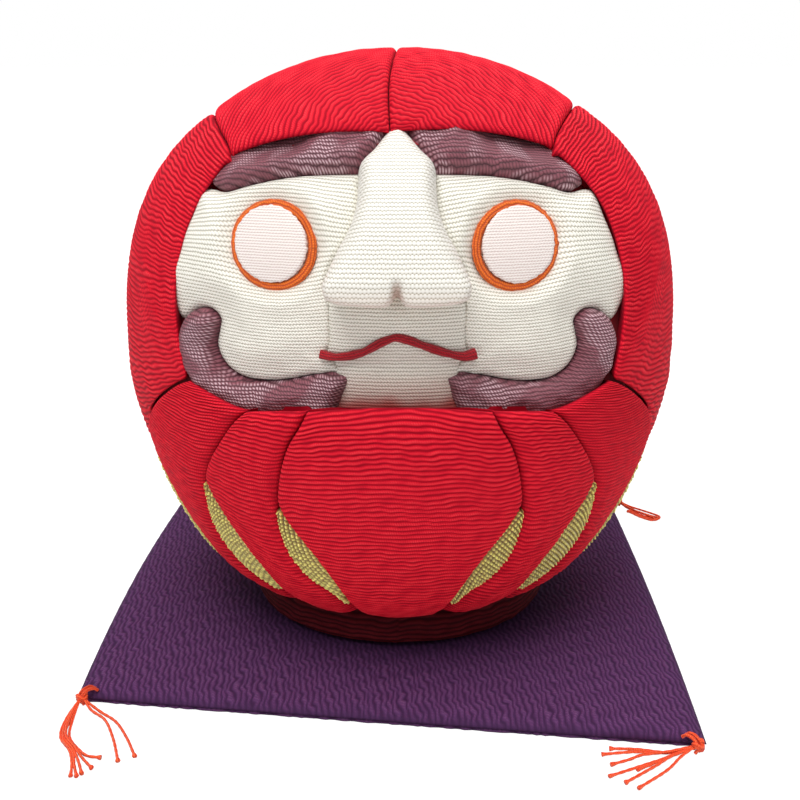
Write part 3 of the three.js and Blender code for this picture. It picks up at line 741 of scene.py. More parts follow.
def face_pad(name, outline, relief, step=0.25, flow=None, marks=None):
    """A cloth pad on the face: a fine grid inside an outline, whose border points are moved on to it.

    relief(x, h, inside) is how proud the front stands. flow(x, h) gives the thread coordinates, and
    marks the strength of the painted red reflection and of the painted shade with dye bleed. The back lies
    under the face's surface.
    """
    closed = smooth_line(np.array([*outline, outline[0]], float), 40 + 6 * len(outline))[:-1]
    low, high = closed.min(axis=0) - 2 * step, closed.max(axis=0) + 2 * step
    xs, hs = np.arange(low[0], high[0], step), np.arange(low[1], high[1], step)
    x, h = (g.ravel() for g in np.meshgrid(xs, hs))
    inside, nearest = outline_distance(x, h, closed)
    close = inside > -1.3 * step
    border = (inside <= 0) & close
    x, h = np.where(border, nearest[:, 0], x), np.where(border, nearest[:, 1], h)
    usable = close.reshape(len(hs), len(xs))
    kept = usable[:-1, :-1] & usable[1:, :-1] & usable[:-1, 1:] & usable[1:, 1:]
    rows, columns = np.nonzero(kept)
    a = rows * len(xs) + columns
    quads = np.stack([a, a + 1, a + 1 + len(xs), a + len(xs)], axis=1)
    used = np.unique(quads)
    renumber = np.zeros(len(x), np.int64)
    renumber[used] = np.arange(len(used))
    quads, x, h, inside = renumber[quads], x[used], h[used], np.maximum(inside[used], 0)
    edges = np.stack([quads, np.roll(quads, -1, axis=1)], axis=-1).reshape(-1, 2)
    key = edges.min(axis=1) * len(used) + edges.max(axis=1)
    _, first, count = np.unique(key, return_index=True, return_counts=True)
    rim = edges[first[count == 1]]
    front = on_face(x, h, relief(x, h, inside))
    behind = on_face(x, h, np.full_like(x, PAD_BACK))
    n = len(used)
    walls = np.stack([rim[:, 1], rim[:, 0], rim[:, 0] + n, rim[:, 1] + n], axis=1)
    along, across = (x, h) if flow is None else flow(x, h)
    uv = np.tile(np.stack([along, across], axis=1), (2, 1))
    values = {"painted_red_reflection": np.zeros(2 * n), "bleed_and_shade": np.zeros(2 * n)}
    for key_name, mark in (marks or {}).items():
        values[key_name] = np.tile(mark(x, h, inside), 2)
    return new_mesh(name, np.concatenate([front, behind]), [quads, quads[:, ::-1] + n, walls], values, uv)


def mirrored(points, side, shift=0.0):
    """Outline points given for the right side, on either side, shifted across."""
    made = [(side * x + shift, h) for x, h in points]
    return made if side > 0 else made[::-1]


FACE_SHIFT = -0.35              # the face's middle is a little left of the doll's axis
BROW_TOP = [(24.4, 68.4), (23.8, 70.0), (21.6, 72.2), (18.4, 73.8), (13.0, 75.4), (7.5, 76.6), (0.7, 77.2)]
BROW_LOW = [(0.5, 74.4), (1.4, 72.8), (3.2, 71.2), (4.8, 70.0), (8.4, 69.9), (12.0, 69.7), (16.0, 69.1),
            (19.8, 68.2), (22.4, 67.6)]
MOUSTACHE_IN = [(6.2, 44.6), (8.2, 45.2), (10.5, 44.7), (13.9, 43.8), (17.2, 43.3), (20.2, 43.5),
                (22.3, 44.6), (23.5, 46.2), (23.9, 47.8), (23.5, 49.8), (23.3, 51.2), (24.4, 52.3),
                (26.0, 52.3)]
MOUSTACHE_OUT = [(27.6, 51.3), (28.6, 48.8), (28.6, 46.2), (27.8, 43.6), (25.2, 40.4), (20.4, 38.8),
                 (17.2, 38.5), (14.0, 38.7), (10.4, 39.1), (8.2, 39.7), (7.0, 41.6)]
NOSE_SIDE = [(0.4, 74.9), (1.3, 74.0), (3.1, 71.9), (4.8, 70.1), (5.0, 67.6), (5.2, 65.4), (6.1, 62.8),
             (7.4, 60.6), (8.4, 58.4), (8.8, 57.2), (8.5, 55.9), (7.4, 55.1), (4.2, 54.6), (1.0, 54.6),
             (0, 55.2)]
NOSE_ROOT, NOSE_TIP = 75, 57.5  # heights between which it grows
CHEEK_INNER = [(4.7, 70.0), (4.7, 67.6), (4.8, 65.4), (5.7, 62.6), (7.1, 60.4), (8.4, 58.4), (8.9, 56.4),
               (8.7, 53.6), (8.7, 49.2), (9.0, 47.6), (8.0, 46.2), (7.0, 45.0)]
CHEEK_RIM = [(28.4, 50.4), (29.9, 52.4), (30.5, 55.0), (29.6, 60.0), (28.0, 64.0), (25.9, 67.9)]
MUZZLE_SIDE = [(8.8, 57.4), (8.7, 53.6), (8.7, 49.2), (9.0, 47.6), (8.0, 46.2), (7.9, 44.8), (8.6, 41.5),
               (9.6, 36.8)]
SEAM_LEVEL = 0.55               # how proud the cheeks and the muzzle are where they meet
SEAM_ROUND = (0.6, 0.35)        # (width, depth) of their rounding there
PAD_SINK = 0.4                  # how deep the edges of the nose, brows and moustaches are set in
EYE_OFFSET, EYE_HEIGHT = 15.5, 61.1


def rounded(inside, radius, depth):
    """0 away from an edge, falling to -depth at it along a quarter ellipse."""
    return -depth * (1 - round_over(inside, radius))


def eye_centre(side):
    """The left eye sits a little further from the doll's axis than the right one."""
    return side * EYE_OFFSET + 2 * FACE_SHIFT, EYE_HEIGHT


def around_eyes(x, h):
    """Rows that part round each eye, as a stream parts round a post."""
    rows = h.copy()
    for _, side in SIDES:
        cx, ch = eye_centre(side)
        far = np.maximum(np.hypot(x - cx, h - ch), 4.0)
        rows = rows - (h - ch) * (3.2 / far) ** 2
    return x, rows


def cheek_relief(side):
    """A padded cheek: swells from its edges, sinks into a shallow bowl round the eye, and rounds off least
    at the thin seam beside the muzzle and most at its outer edge, under the side panel."""
    cx, ch = eye_centre(side)

    def relief(x, h, inside):
        out = side * (x - FACE_SHIFT)
        seam = (1 - smoothstep(h, 54.5, 57.5)) * (1 - smoothstep(out, 9.6, 11.5))
        bowl = 1 - smoothstep(np.hypot(x - cx, h - ch), 4.9, 7.6)
        swell = SEAM_LEVEL + 0.75 * smoothstep(inside, 0, 5.0)
        outer = smoothstep(out, 19, 27) * smoothstep(h, 55.5, 60)
        tucked = rounded(inside, 1.2 + 2.4 * outer, 1.2 + 1.0 * outer)
        wrinkle = 0.1 * waves(x * 0.6, h, 61, 3.4) * smoothstep(inside, 0.3, 2)
        return swell + tucked * (1 - seam) + rounded(inside, *SEAM_ROUND) * seam - 1.6 * bowl + wrinkle
    return relief


def cheeks():
    """A cheek fills the space between the nose, muzzle, moustache, side panel and brow."""
    for word, side in SIDES:
        outline = mirrored(CHEEK_INNER + MOUSTACHE_IN[1:] + CHEEK_RIM + BROW_LOW[:2:-1], side, FACE_SHIFT)
        cx, ch = eye_centre(side)

        # Painted shade in the well round each eye ring, with some dye bled from the ring.
        def bleed_and_shade(x, h, inside):
            far = np.hypot(x - cx, h - ch)
            uneven = (0.7 + 0.5 * waves(x, h, 62, 3.0)).clip(0.3, 1)
            return (0.8 * (1 - smoothstep(far, 5.3, 6.1)) + 0.14 * (1 - smoothstep(far, 5.8, 7.8))) * uneven
        piece = face_pad(f"cheek_cloth_{word}", outline, cheek_relief(side), flow=around_eyes,
                         marks={"bleed_and_shade": bleed_and_shade})
        dress(piece, "doll", CREAM_SILK, [f"cheek_cloth_{word}"])


def chin():
    """The muzzle and chin: a soft upper lip, a crease at the mouth, and a painted reflection of the red belly
    cloth at the bottom.
    """
    outline = mirrored(MUZZLE_SIDE, 1, FACE_SHIFT) + mirrored(MUZZLE_SIDE, -1, FACE_SHIFT)

    def relief(x, h, inside):
        middle = np.exp(-(x / 6.5) ** 2)
        lip = 0.7 * np.exp(-((h - 52.0) / 2.4) ** 2) * middle
        crease = 0.45 * np.exp(-((h - 46.4) / 1.0) ** 2) * np.exp(-(x / 8.0) ** 2)
        jaw = 0.7 * np.exp(-((h - 42.5) / 3.0) ** 2) * middle
        under = 0.7 * np.exp(-((h - 55.6) / 1.2) ** 2)
        return (SEAM_LEVEL + 0.35 * smoothstep(inside, 0, 3) + lip + jaw - crease - under
                + rounded(inside, *SEAM_ROUND))

    # Painted red reflection of the belly cloth, strongest at the chin's lower edge and faint up to the mouth.
    def painted_red_reflection(x, h, inside):
        edge = 41.9 + 0.35 * waves(x, h * 0, 5, 5.0)
        return 0.9 * (1 - smoothstep(h, edge - 1.2, edge + 0.9)) + 0.08 * (1 - smoothstep(h, 42, 47))

    # Painted shade on the lower chin, darker towards the belly cloth's top edge.
    def bleed_and_shade(x, h, inside):
        return 0.28 * (1 - smoothstep(h, 42.5, 46.5))
    piece = face_pad("chin_cloth", outline, relief, marks={"painted_red_reflection": painted_red_reflection, "bleed_and_shade": bleed_and_shade})
    dress(piece, "doll", CREAM_SILK, ["chin_cloth"])


def nose():
    """A stuffed nose: a rounded ridge that grows from the brow to the tip, with a tuck under the tip."""
    outline = mirrored(NOSE_SIDE, 1, FACE_SHIFT) + mirrored(NOSE_SIDE[1:-1], -1, FACE_SHIFT)

    def relief(x, h, inside):
        t = np.clip((NOSE_ROOT - h) / (NOSE_ROOT - NOSE_TIP), 0, 1)
        ridge = 3.2 + 5.1 * t ** 1.1
        below = 1 - smoothstep(h, 56.4, 60.5)
        radius = (1.6 + 1.7 * t) * (1 - below) + 1.5 * below
        middle = x - FACE_SHIFT
        tuck = 3.2 * np.exp(-(middle / 0.45) ** 2) * (1 - smoothstep(h, 56.0, 58.2))
        wings = 0.35 * (1 - np.exp(-(middle / 2.2) ** 2)) * (1 - smoothstep(h, 56, 60))
        return ridge * round_over(inside, radius) - tuck + wings - PAD_SINK

    # Painted shade under the nose's tip and in the tuck beneath it.
    def bleed_and_shade(x, h, inside):
        tuck = np.exp(-((x - FACE_SHIFT) / 0.45) ** 2)
        return 0.2 * (1 - smoothstep(h, 55.8, 57.6)) + 0.45 * tuck * (1 - smoothstep(h, 56.0, 58.4))
    piece = face_pad("nose", outline, relief, step=0.2, marks={"bleed_and_shade": bleed_and_shade})
    dress(piece, "doll", NOSE_SILK, ["nose"])


def ridge_relief(height, radius, seed, under_hood=False):
    """A pad with quarter-round edges, a little uneven.

    A brow is fullest by the nose, slopes down towards the hood's rim, a parabola, and is thin beyond it
    and at its outer end.
    """
    def relief(x, h, inside):
        lump = 1 + 0.1 * waves(x, h, seed, 5.0) + 0.03 * waves(x, h, seed + 1, 1.6)
        proud = height * lump * round_over(inside, radius)
        if under_hood:
            above_rim = h - (74.7 - 3.4 * (x / 25) ** 2)
            outer = smoothstep(np.abs(x), 6, 17)
            end = smoothstep(np.abs(x), 20, 24.4)
            proud = proud * (1.2 - 0.2 * outer) * (1 - 0.78 * outer * smoothstep(above_rim, -4.0, -0.2))
            proud = proud * (1 - 0.75 * smoothstep(above_rim, -0.4, 1.4)) * (1 - 0.6 * end)
        return proud - PAD_SINK
    return relief


def brows_and_moustaches():
    for i, (word, side) in enumerate(SIDES):
        brow = face_pad(f"eyebrow_{word}", mirrored(BROW_TOP + BROW_LOW, side, FACE_SHIFT),
                        ridge_relief(2.6, 1.5, 60 + i, under_hood=True), step=0.2)
        dress(brow, "doll", MAUVE_CREPE, [f"eyebrow_{word}"])
        curl = face_pad(f"moustache_{word}", mirrored(MOUSTACHE_IN + MOUSTACHE_OUT, side, FACE_SHIFT),
                        ridge_relief(3.3, 2.2, 70 + i), step=0.2)
        dress(curl, "doll", MAUVE_CREPE, [f"moustache_{word}"])


# ---- Eyes ----

RING_RADIUS = 5.06
RING_THICK = (0.62, 0.42)       # half its width and half its height
DISC_RADIUS = 4.75
DISC_PLACE = (0.35, 0.15)       # how far the disc sits outward and up from the ring's middle
DISC_RIM = 0.95                 # share of the radius beyond which the disc turns down and frays


def full_turn(count):
    """Angles of `count` points evenly spaced round a circle."""
    return np.linspace(0, 2 * np.pi, count, endpoint=False)


def eyes():
    """A blank cloth disc with a frayed edge, set off centre in a soft orange ring.

    The ring is an oval section carried round a circle; the disc is low rings, crowned by a parabola.
    """
    for i, (word, side) in enumerate(SIDES):
        cx, ch = eye_centre(side)
        a, b = np.meshgrid(full_turn(160), full_turn(14), indexing="ij")
        fibre = 1 + 0.1 * waves(a * 6, b * 1.2, 80 + i, 1.1)
        r = RING_RADIUS + RING_THICK[0] * np.cos(b) * fibre
        proud = -0.3 + RING_THICK[1] * np.sin(b) * fibre + 0.2 * (r - RING_RADIUS)
        ring = on_face(cx + r * np.cos(a), ch + r * np.sin(a), proud)
        rows, columns = ring.shape[:2]
        j, k = np.meshgrid(np.arange(rows), np.arange(columns), indexing="ij")
        corner = [j * columns + k, ((j + 1) % rows) * columns + k,
                  ((j + 1) % rows) * columns + (k + 1) % columns, j * columns + (k + 1) % columns]
        uv = np.stack([a * RING_RADIUS, b * 0.5], axis=-1).reshape(-1, 2)
        faces = [np.stack(corner, -1).reshape(-1, 4)]
        rim = new_mesh(f"eye_rim_{word}", ring.reshape(-1, 3), faces, None, uv)
        dress(rim, "doll", ORANGE_EDGE, [f"eye_rim_{word}"])

        radii, angle = np.meshgrid(np.linspace(0.15, 1, 18), full_turn(180), indexing="ij")
        long_fray, short_fray = (waves(angle * 5, angle * 0, seed + i, length)
                                 for seed, length in ((90, 0.9), (95, 0.35)))
        fray = 1 + 0.014 * long_fray + 0.006 * short_fray
        reach = DISC_RADIUS * radii * np.where(radii > DISC_RIM, fray, 1)
        px = cx + side * DISC_PLACE[0] + reach * np.cos(angle)
        ph = ch + DISC_PLACE[1] + reach * np.sin(angle)
        rim_fall = np.clip((radii - DISC_RIM) / 0.05, 0, 1)
        top = on_face(px, ph, 0.42 - 0.1 * radii ** 2 - 0.22 * rim_fall)
        under = on_face(px, ph, np.full_like(px, -0.1))
        rings = np.concatenate([top, under[::-1]], axis=0)
        flat = np.stack([px, ph], axis=-1)
        zeros = np.zeros(rings.shape[0] * rings.shape[1])
        disc = new_mesh(f"eye_disc_{word}", rings.reshape(-1, 3), ring_faces(*rings.shape[:2], flip=True),
                        {"painted_red_reflection": zeros, "bleed_and_shade": zeros}, np.concatenate([flat, flat[::-1]]).reshape(-1, 2))
        dress(disc, "doll", WHITE_CLOTH, [f"eye_disc_{word}"])


# ---- Threads ----

def thread(line, radius, up, turn=0.5, sides=8, ends=1.0):
    """(rings, uv) of a twisted thread along a line: a circle whose radius rises over each of its two plies.

    The plies wind round by `turn` radians per radius; the thread swells to `ends` times at the far end.
    """
    run = travelled(line)
    ahead = unit(np.gradient(line, axis=0))
    side = unit(np.cross(ahead, np.broadcast_to(np.array(up, float), line.shape)))
    over = np.cross(side, ahead)
    angle = full_turn(sides)
    ply = np.abs(np.cos(angle[None, :] - turn * run[:, None] / radius))
    swell = 1 + (ends - 1) * smoothstep(run, run[-1] - 4 * radius, run[-1])[:, None]
    r = (radius * (0.84 + 0.22 * ply) * swell)[..., None]
    turned = angle[None, :, None]
    rings = line[:, None] + r * (np.cos(turned) * side[:, None] + np.sin(turned) * over[:, None])
    return rings, np.stack(np.broadcast_arrays(run[:, None], angle[None, :] * radius), axis=-1)


def threads(name, bundles):
    """One mesh of several threads, each a closed tube."""
    points, uvs, faces, start = [], [], [], 0
    for rings, uv in bundles:
        points.append(rings.reshape(-1, 3))
        uvs.append(uv.reshape(-1, 2))
        faces += [f + start for f in ring_faces(*rings.shape[:2], flip=True)]
        start += len(points[-1])
    return new_mesh(name, np.concatenate(points), faces, None, np.concatenate(uvs))


def mouth():
    """A cord laid along the lips, thicker at its right end."""
    places = [(-9.7, 47.7), (-7.6, 47.4), (-4.4, 48.1), (-1.9, 49.5), (-0.3, 50.1), (1.4, 49.8), (3.4, 49.0),
              (6.2, 48.0), (8.4, 47.5), (9.9, 47.8)]
    x, h = smooth_line(places, 120).T
    line = on_face(x + FACE_SHIFT, h, 1.15 + 0.25 * np.exp(-(x / 5) ** 2))
    piece = threads("mouth_cord", [thread(line, 0.56, (0, -1, 0), turn=0.45, sides=18, ends=1.35)])
    dress(piece, "doll", RED_CORD, ["mouth_cord"])


# ---- Gold slivers ----

GOLD_BEAD = (0.64, 0.68, 0.36)  # a bead's width, its length and how far it stands up
GOLD_SINK = 0.65                # how far a sliver's edges lie under the doll's surface
GOLD_CROWN = 0.35               # and how far its middle rises over them
GOLD_BACK = 1.8


def gold(name, edge, line, side, ends, proud=0.0):
    """A strip of brocade at the foot of a groove, beaded by its gold threads.

    It lies between a panel's edge and the groove's line, from one share of their length to another
    (`ends`), and is crowned across by a parabola. Along it, another parabola lifts its middle by `proud`.
    Each bead is a product of two rectified sines.
    """
    a, b = groove(edge, side), groove(line, side)
    if side < 0:
        a, b = b, a
    low, high = ends
    v = np.linspace(low, high, 260)
    start, end = (points_at(c, np.arange(LINE_POINTS), v * (LINE_POINTS - 1)) for c in (a, b))
    u = np.linspace(-0.15, 1.15, 48)
    direction = start[:, None] + (end - start)[:, None] * u[:, None] - MIDDLE
    flat = lift_to_body(direction, 0)
    cross = travelled(flat, 1)
    row = travelled(flat, 0) + 0.5 * cross
    width, length, rise = GOLD_BEAD
    bead = (np.abs(np.sin(np.pi * cross / width)) * np.abs(np.sin(np.pi * row / length))) ** 0.9
    bead = bead * (1 + 0.3 * waves(cross, row, 77, 1.5))
    swell = 4 * (v - low) * (high - v) / (high - low) ** 2
    crown = GOLD_CROWN * (1 - (2 * u - 1) ** 2)
    points = lift_to_body(direction, -GOLD_SINK + proud * swell[:, None] + crown + rise * bead)
    backing = lift_to_body(direction[:, ::-1][:, ::8], -GOLD_BACK)
    piece = strip_mesh(name, points, backing, bead, cross, row)
    dress(piece, "doll", GOLD_BROCADE, [name])


def gold_slivers():
    for word, side in SIDES:
        gold(f"gold_sliver_inner_{word}", CENTRE_EDGE, INNER_GROOVE, side, (0.14, 0.6))
        gold(f"gold_sliver_outer_{word}", INNER_EDGE, OUTER_GROOVE, side, (0.14, 0.62))
        gold(f"gold_sliver_side_{word}", OUTER_EDGE, SIDE_GROOVE, side, (0.1, 0.52), proud=0.7)


# ---- The foot ----

def foot():
    """A crepe-covered ring: rounded below and above, with level ripples."""
    low, high = node_box("foot_ring")
    radius, bottom, top = high[0], low[2] - TABLE_TOP - 0.3, high[2] - TABLE_TOP + 1.0
    turn, rise = np.meshgrid(full_turn(420), np.linspace(0, 1, 40))
    profile_r = radius + 0.7 - 0.4 * (1 - smoothstep(rise, 0, 0.1)) - 1.6 * smoothstep(rise, 0.5, 1.0)
    around, height = turn * radius, bottom + (top - bottom) * rise
    ridge, crest = crepe(around, height, 55)
    r = profile_r + 0.16 * ridge
    rings = np.stack([r * np.sin(turn), -r * np.cos(turn), height], axis=-1)
    uv = np.stack([around, height], axis=-1).reshape(-1, 2)
    piece = new_mesh("foot_ring", rings.reshape(-1, 3), ring_faces(*rings.shape[:2]), {"crest": crest}, uv)
    # The foot's crepe is the red crepe darkened by painted shade.
    dress(piece, "doll", SHADED_FOOT_CREPE, ["foot_ring"])


# ---- The cushion ----

CUSHION_CORNERS = np.array([(-45.2, -33.2), (40.2, -45.0), (41.6, 40.0), (-42.4, 49.0)])
CUSHION_BOW = (0.1, 0.6, 1.0, 1.4)              # how far the front, right, back and left edges bulge
CUSHION_SIDE = 85
SEAM_HEIGHT = 0.9
EDGE_ROUND = 3.2                # width of the rounding inside the seam
STAND_RADIUS = 27               # of the flat place under the doll


def cushion_plan(u, v):
    """A four-cornered patch with its edges bulged by a parabola: the plan of the cushion."""
    shares = ((1 - u) * (1 - v), u * (1 - v), u * v, (1 - u) * v)
    plan = sum(share[..., None] * corner for share, corner in zip(shares, CUSHION_CORNERS))
    front, right, back, left = CUSHION_BOW
    plan[..., 1] += 4 * u * (1 - u) * (back * v ** 3 - front * (1 - v) ** 3)
    plan[..., 0] += 4 * v * (1 - v) * (right * u ** 3 - left * (1 - u) ** 3)
    return plan


def cushion_grid(n):
    """(quads, rim) of a square grid of n points a side: its faces, and the points round its edge in order."""
    i, j = np.meshgrid(np.arange(n - 1), np.arange(n - 1), indexing="ij")
    a = i * n + j
    rim = np.concatenate([np.arange(n), n * np.arange(1, n) + n - 1, (n - 1) * n + np.arange(n - 2, -1, -1),
                          n * np.arange(n - 2, 0, -1)])
    return np.stack([a, a + 1, a + 1 + n, a + n], axis=-1).reshape(-1, 4), rim


def cushion_top():
    """The padded top: flat where the doll stands, swelling a little round it, thin at its sewn edges."""
    n = 400
    t = np.linspace(0, 1, n)
    t = 0.85 * t + 0.15 * (0.5 - 0.5 * np.cos(np.pi * t))
    u, v = np.meshgrid(t, t)
    plan = cushion_plan(u, v)
    x, y = plan[..., 0], plan[..., 1]
    fall = round_over(np.minimum.reduce([u, 1 - u, v, 1 - v]) * CUSHION_SIDE, EDGE_ROUND)
    swell = (1 - (2 * u - 1) ** 4) * (1 - (2 * v - 1) ** 4)
    stand = np.exp(-(np.hypot(x, y) / STAND_RADIUS) ** 8)
    thick = SEAM_HEIGHT + (1.15 + 0.95 * swell + 0.35 * swell * (1 - stand)) * fall
    thick = np.minimum(thick, TABLE_TOP + 0.25 * (1 - stand))
    sag = 0.35 * waves(x, y, 7, 40.0, 4) * fall * (1 - stand)
    ridge, crest = crepe(y, x + 0.12 * y, 8, pitch=0.84, jitter=0.24)
    calm = np.clip(fall, 0.25, 1) * (1 - 0.6 * stand)
    z = FLOOR + thick + sag + 0.22 * ridge * calm - 0.1
    top = np.concatenate([plan, z[..., None]], axis=-1)
    quads, rim = cushion_grid(n)
    inner = top.reshape(-1, 3)[rim]
    inner[:, :2] *= 0.985
    inner[:, 2] = FLOOR + 0.55
    m = len(rim)
    k = np.arange(m)
    walls = np.stack([rim[(k + 1) % m], rim[k], n * n + k, n * n + (k + 1) % m], axis=1)
    bottom = (n * n + k)[::-1][None]
    points = np.concatenate([top.reshape(-1, 3), inner])
    uv = np.concatenate([plan[..., ::-1].reshape(-1, 2), inner[:, 1::-1]])
    crest = np.concatenate([(crest * calm).ravel(), np.zeros(m)])
    piece = new_mesh("cushion_top_cloth", points, [quads, walls, bottom], {"crest": crest}, uv)
    dress(piece, "cushion", PURPLE_CREPE, ["cushion_top_cloth", "cushion_wadding"])


def under_sheet():
    """The flat cloth under the cushion, rippled below, and plain where it meets the wadding."""
    n = 150
    plan = cushion_plan(*np.meshgrid(np.linspace(0, 1, n), np.linspace(0, 1, n))) * 0.992
    ridge, crest = crepe(plan[..., 1], plan[..., 0], 9, wander=0.5)
    low = np.concatenate([plan, (FLOOR + 0.22 - 0.14 * ridge)[..., None]], axis=-1)
    high = np.concatenate([plan, np.full((n, n, 1), FLOOR + 0.6)], axis=-1)
    quads, rim = cushion_grid(n)
    quads = quads[:, [0, 3, 2, 1]]
    after = np.roll(rim, -1)
    walls = np.stack([rim, after, after + n * n, rim + n * n], axis=1)
    points = np.concatenate([low.reshape(-1, 3), high.reshape(-1, 3)])
    uv = np.tile(plan[..., ::-1].reshape(-1, 2), (2, 1))
    piece = new_mesh("cushion_under_cloth", points, [quads, quads[:, ::-1] + n * n, walls],
                     {"crest": np.tile(crest.ravel(), 2)}, uv)
    dress(piece, "cushion", PURPLE_CREPE, ["cushion_under_cloth"])


# ---- Tassels ----

THREAD_RADIUS, KNOT_RADIUS, STITCH_RADIUS = 0.2, 0.3, 0.24
KNOT_HEIGHT = 1.35
STITCH_ROUTE = ((0.1, 0.5), (-0.3, 1.4), (0.5, 2.35), (1.6, 2.45), (2.3, 1.9))    # (inward, up) over the edge
TASSELS = {                     # corner: the place of its stitch, and the routes of its threads
    "front_left": ((-44.3, -34.2), [
        [(-45.6, -37.8), (-45.2, -42.4), (-43.2, -45.6), (-42.2, -48.4), (-41.6, -51.3)],
        [(-45.3, -37.7), (-44.8, -42.4), (-42.8, -45.4), (-41.4, -48.2), (-40.3, -50.9)],
        [(-45.0, -37.9), (-44.4, -42.6), (-42.6, -45.2), (-41.0, -47.6), (-39.3, -49.8)],
        [(-44.7, -38.0), (-44.0, -42.4), (-42.0, -45.4), (-40.6, -46.8), (-38.7, -47.3)],
        [(-44.9, -38.2), (-44.6, -43.2), (-42.6, -46.2), (-41.8, -48.8), (-40.8, -51.5)],
        [(-42.6, -36.2), (-40.2, -38.6), (-38.0, -43.2), (-36.3, -48.2)],
        [(-41.4, -36.0), (-38.8, -38.4), (-36.4, -42.5), (-34.4, -46.9)]]),
    "front_right": ((38.7, -46.4), [
        [(35.2, -46.1), (31.0, -45.4), (27.4, -45.2)],
        [(35.0, -46.5), (30.6, -46.2), (26.2, -46.6)],
        [(34.6, -46.6), (31.2, -47.2), (29.6, -48.0), (27.0, -49.0)],
        [(35.2, -46.9), (31.6, -48.8), (26.4, -51.4)],
        [(35.4, -47.1), (32.6, -49.4), (28.2, -52.9)],
        [(36.4, -47.5), (34.1, -50.3), (29.6, -54.2)],
        [(35.2, -46.8), (32.0, -49.0), (30.2, -50.0)]]),
    "back_left": ((-43.2, 50.1), [
        [(-43.0, 54.0), (-42.0, 60.0), (-40.0, 66.0)],
        [(-42.6, 53.8), (-40.4, 59.4), (-36.5, 65.0)],
        [(-43.4, 54.0), (-43.4, 60.4), (-43.0, 67.0)],
        [(-42.2, 53.2), (-38.6, 57.8), (-33.5, 62.4)]]),
    "back_right": ((43.0, 41.0), [
        [(44.8, 40.1), (46.6, 38.1), (48.6, 36.0), (49.7, 34.8), (49.0, 33.8), (47.2, 35.3), (44.9, 38.5)],
        [(45.1, 40.5), (47.2, 38.6), (49.1, 36.7), (50.1, 35.3), (49.6, 34.1), (47.7, 35.2), (45.0, 38.7)],
        [(44.5, 39.8), (46.0, 37.6), (47.7, 35.4), (48.9, 34.0), (48.4, 33.3), (46.6, 34.9), (44.5, 38.2)]]),
}


def tassels():
    """Threads sewn through each corner: a stitch over the edge, a knot, and limp ends lying on the table."""
    middle = CUSHION_CORNERS.mean(axis=0)
    low = FLOOR + THREAD_RADIUS + 0.05
    for corner, (stitch, ends) in TASSELS.items():
        rng = np.random.default_rng(len(corner) * 7 + len(ends))
        stitch = np.array(stitch)
        inward = unit(middle - stitch)
        knot = np.array([*stitch, FLOOR + KNOT_HEIGHT])
        bundle = []
        for i, route in enumerate(ends):
            lying = [(x, y, low + 0.22 * (i % 3) * (1 - k / len(route)) + rng.uniform(0, 0.1))
                     for k, (x, y) in enumerate(route)]
            start = knot + np.array([*rng.uniform(-0.25, 0.25, 2), 0.1])
            line = smooth_line([start, *lying], 90)
            bundle.append(thread(line, THREAD_RADIUS, (0, 0, 1), ends=1.7))
        wrap = np.linspace(0, 5 * np.pi, 120)
        coil = knot + np.stack([0.55 * np.cos(wrap), 0.55 * np.sin(wrap),
                                0.55 - 0.15 * wrap / np.pi + 0.2 * np.sin(2 * wrap)], axis=1)
        bundle.append(thread(coil, KNOT_RADIUS, (0, 0, 1)))
        sideways = np.array([-inward[1], inward[0]])
        for share in (-0.35, 0.35):
            over = [(*(stitch + reach * inward + share * sideways), FLOOR + height)
                    for reach, height in STITCH_ROUTE]
            bundle.append(thread(smooth_line(over, 60), STITCH_RADIUS, (*sideways, 0)))
        piece = threads(f"tassel_{corner}", bundle)
        dress(piece, f"{corner}_tassel", TASSEL_THREAD, [f"tassel_{corner}"])


def hidden_parts():
    """The core shows only as a line in the grooves, and the sole from below."""
    # The core's dark red stands in for red cloth tucked into the grooves, darkened by painted groove shade.
    for node, material in (("body_core", dull("core_board", (150, 20, 34))),
                           ("sole_paper", dull("sole_card", (74, 44, 42)))):
        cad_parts[node].data.materials.clear()
        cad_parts[node].data.materials.append(material)


cheeks()
chin()
nose()
brows_and_moustaches()
eyes()
mouth()
gold_slivers()
foot()
cushion_top()
under_sheet()
tassels()
hidden_parts()


# ---- The camera, the floor and the light ----

CAMERA_LENS = 55.8              # on a sensor 36 wide
CAMERA_TILT = 16.65             # degrees downward
CAMERA_BACK, CAMERA_RISE = 0.18774, 0.08761     # metres in front of the doll's axis and above the cushion
LIT_POINT = (0, 0, 0.04)        # metres, as all places of the lights
KEY_POWER, TOP_POWER, SKY_STRENGTH = 4.1, 2.7, 0.36


def look():
    """The camera looks straight at the doll, and down a little."""
    camera = bpy.data.cameras.new("camera")
    camera.sensor_width = 36
    camera.lens = CAMERA_LENS
    camera.clip_start, camera.clip_end = 0.01, 10
    eye = bpy.data.objects.new("camera", camera)
    eye.location = (0, -CAMERA_BACK, TABLE_TOP * MM + CAMERA_RISE)
    eye.rotation_euler = (math.radians(90 - CAMERA_TILT), 0, 0)
    bpy.context.scene.collection.objects.link(eye)
    bpy.context.scene.camera = eye


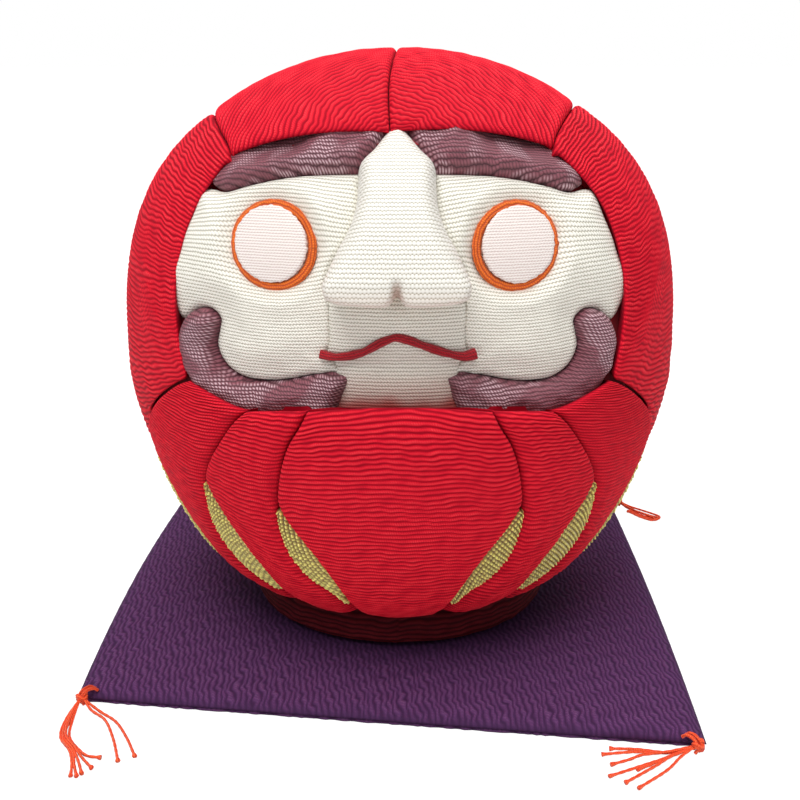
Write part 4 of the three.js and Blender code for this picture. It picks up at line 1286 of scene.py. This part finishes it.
def soft_light(name, place, size, power):
    """A square lamp that faces the doll."""
    lamp = bpy.data.lights.new(name, "AREA")
    lamp.size, lamp.energy = size, power
    holder = bpy.data.objects.new(name, lamp)
    holder.location = place
    holder.rotation_euler = (Vector(LIT_POINT) - Vector(place)).to_track_quat("-Z", "Y").to_euler()
    bpy.context.scene.collection.objects.link(holder)


def white_to_the_eye(tree, shader, output, share):
    """Shows pure white to camera rays by `share`, and the plain shader to all others."""
    path, white, mix = (tree.nodes.new(f"ShaderNode{kind}")
                        for kind in ("LightPath", "Emission", "MixShader"))
    part = tree.nodes.new("ShaderNodeMath")
    part.operation = "MULTIPLY"
    part.inputs[1].default_value = share
    tree.links.new(path.outputs["Is Camera Ray"], part.inputs[0])
    tree.links.new(part.outputs[0], mix.inputs[0])
    white.inputs["Strength"].default_value = 1.0 / share
    tree.links.new(shader.outputs[0], mix.inputs[1])
    tree.links.new(white.outputs[0], mix.inputs[2])
    tree.links.new(mix.outputs[0], output.inputs["Surface"])


def studio():
    """A pale floor and soft light from above and in front."""
    mesh = bpy.data.meshes.new("floor")
    mesh.from_pydata([(-3, -3, 0), (3, -3, 0), (3, 3, 0), (-3, 3, 0)], [], [(0, 1, 2, 3)])
    floor = bpy.data.objects.new("floor", mesh)
    white = Shader("floor_white", Roughness=0.9, Base_Color=(0.9, 0.9, 0.9, 1))
    white_to_the_eye(white.tree, white.surface, white.tree.nodes["Material Output"], 0.8)
    floor.data.materials.append(white.material)
    bpy.context.scene.collection.objects.link(floor)
    soft_light("key", (-0.12, -0.37, 0.68), 0.45, KEY_POWER)
    soft_light("top", (0.05, 0.05, 0.7), 0.6, TOP_POWER)
    world = bpy.data.worlds.new("studio")
    world.use_nodes = True
    sky = world.node_tree.nodes["Background"]
    sky.inputs[0].default_value = (1, 1, 1, 1)
    sky.inputs[1].default_value = SKY_STRENGTH
    white_to_the_eye(world.node_tree, sky, world.node_tree.nodes["World Output"], 1.0)
    bpy.context.scene.world = world
    bpy.context.scene.view_settings.view_transform = "Standard"


look()
studio()
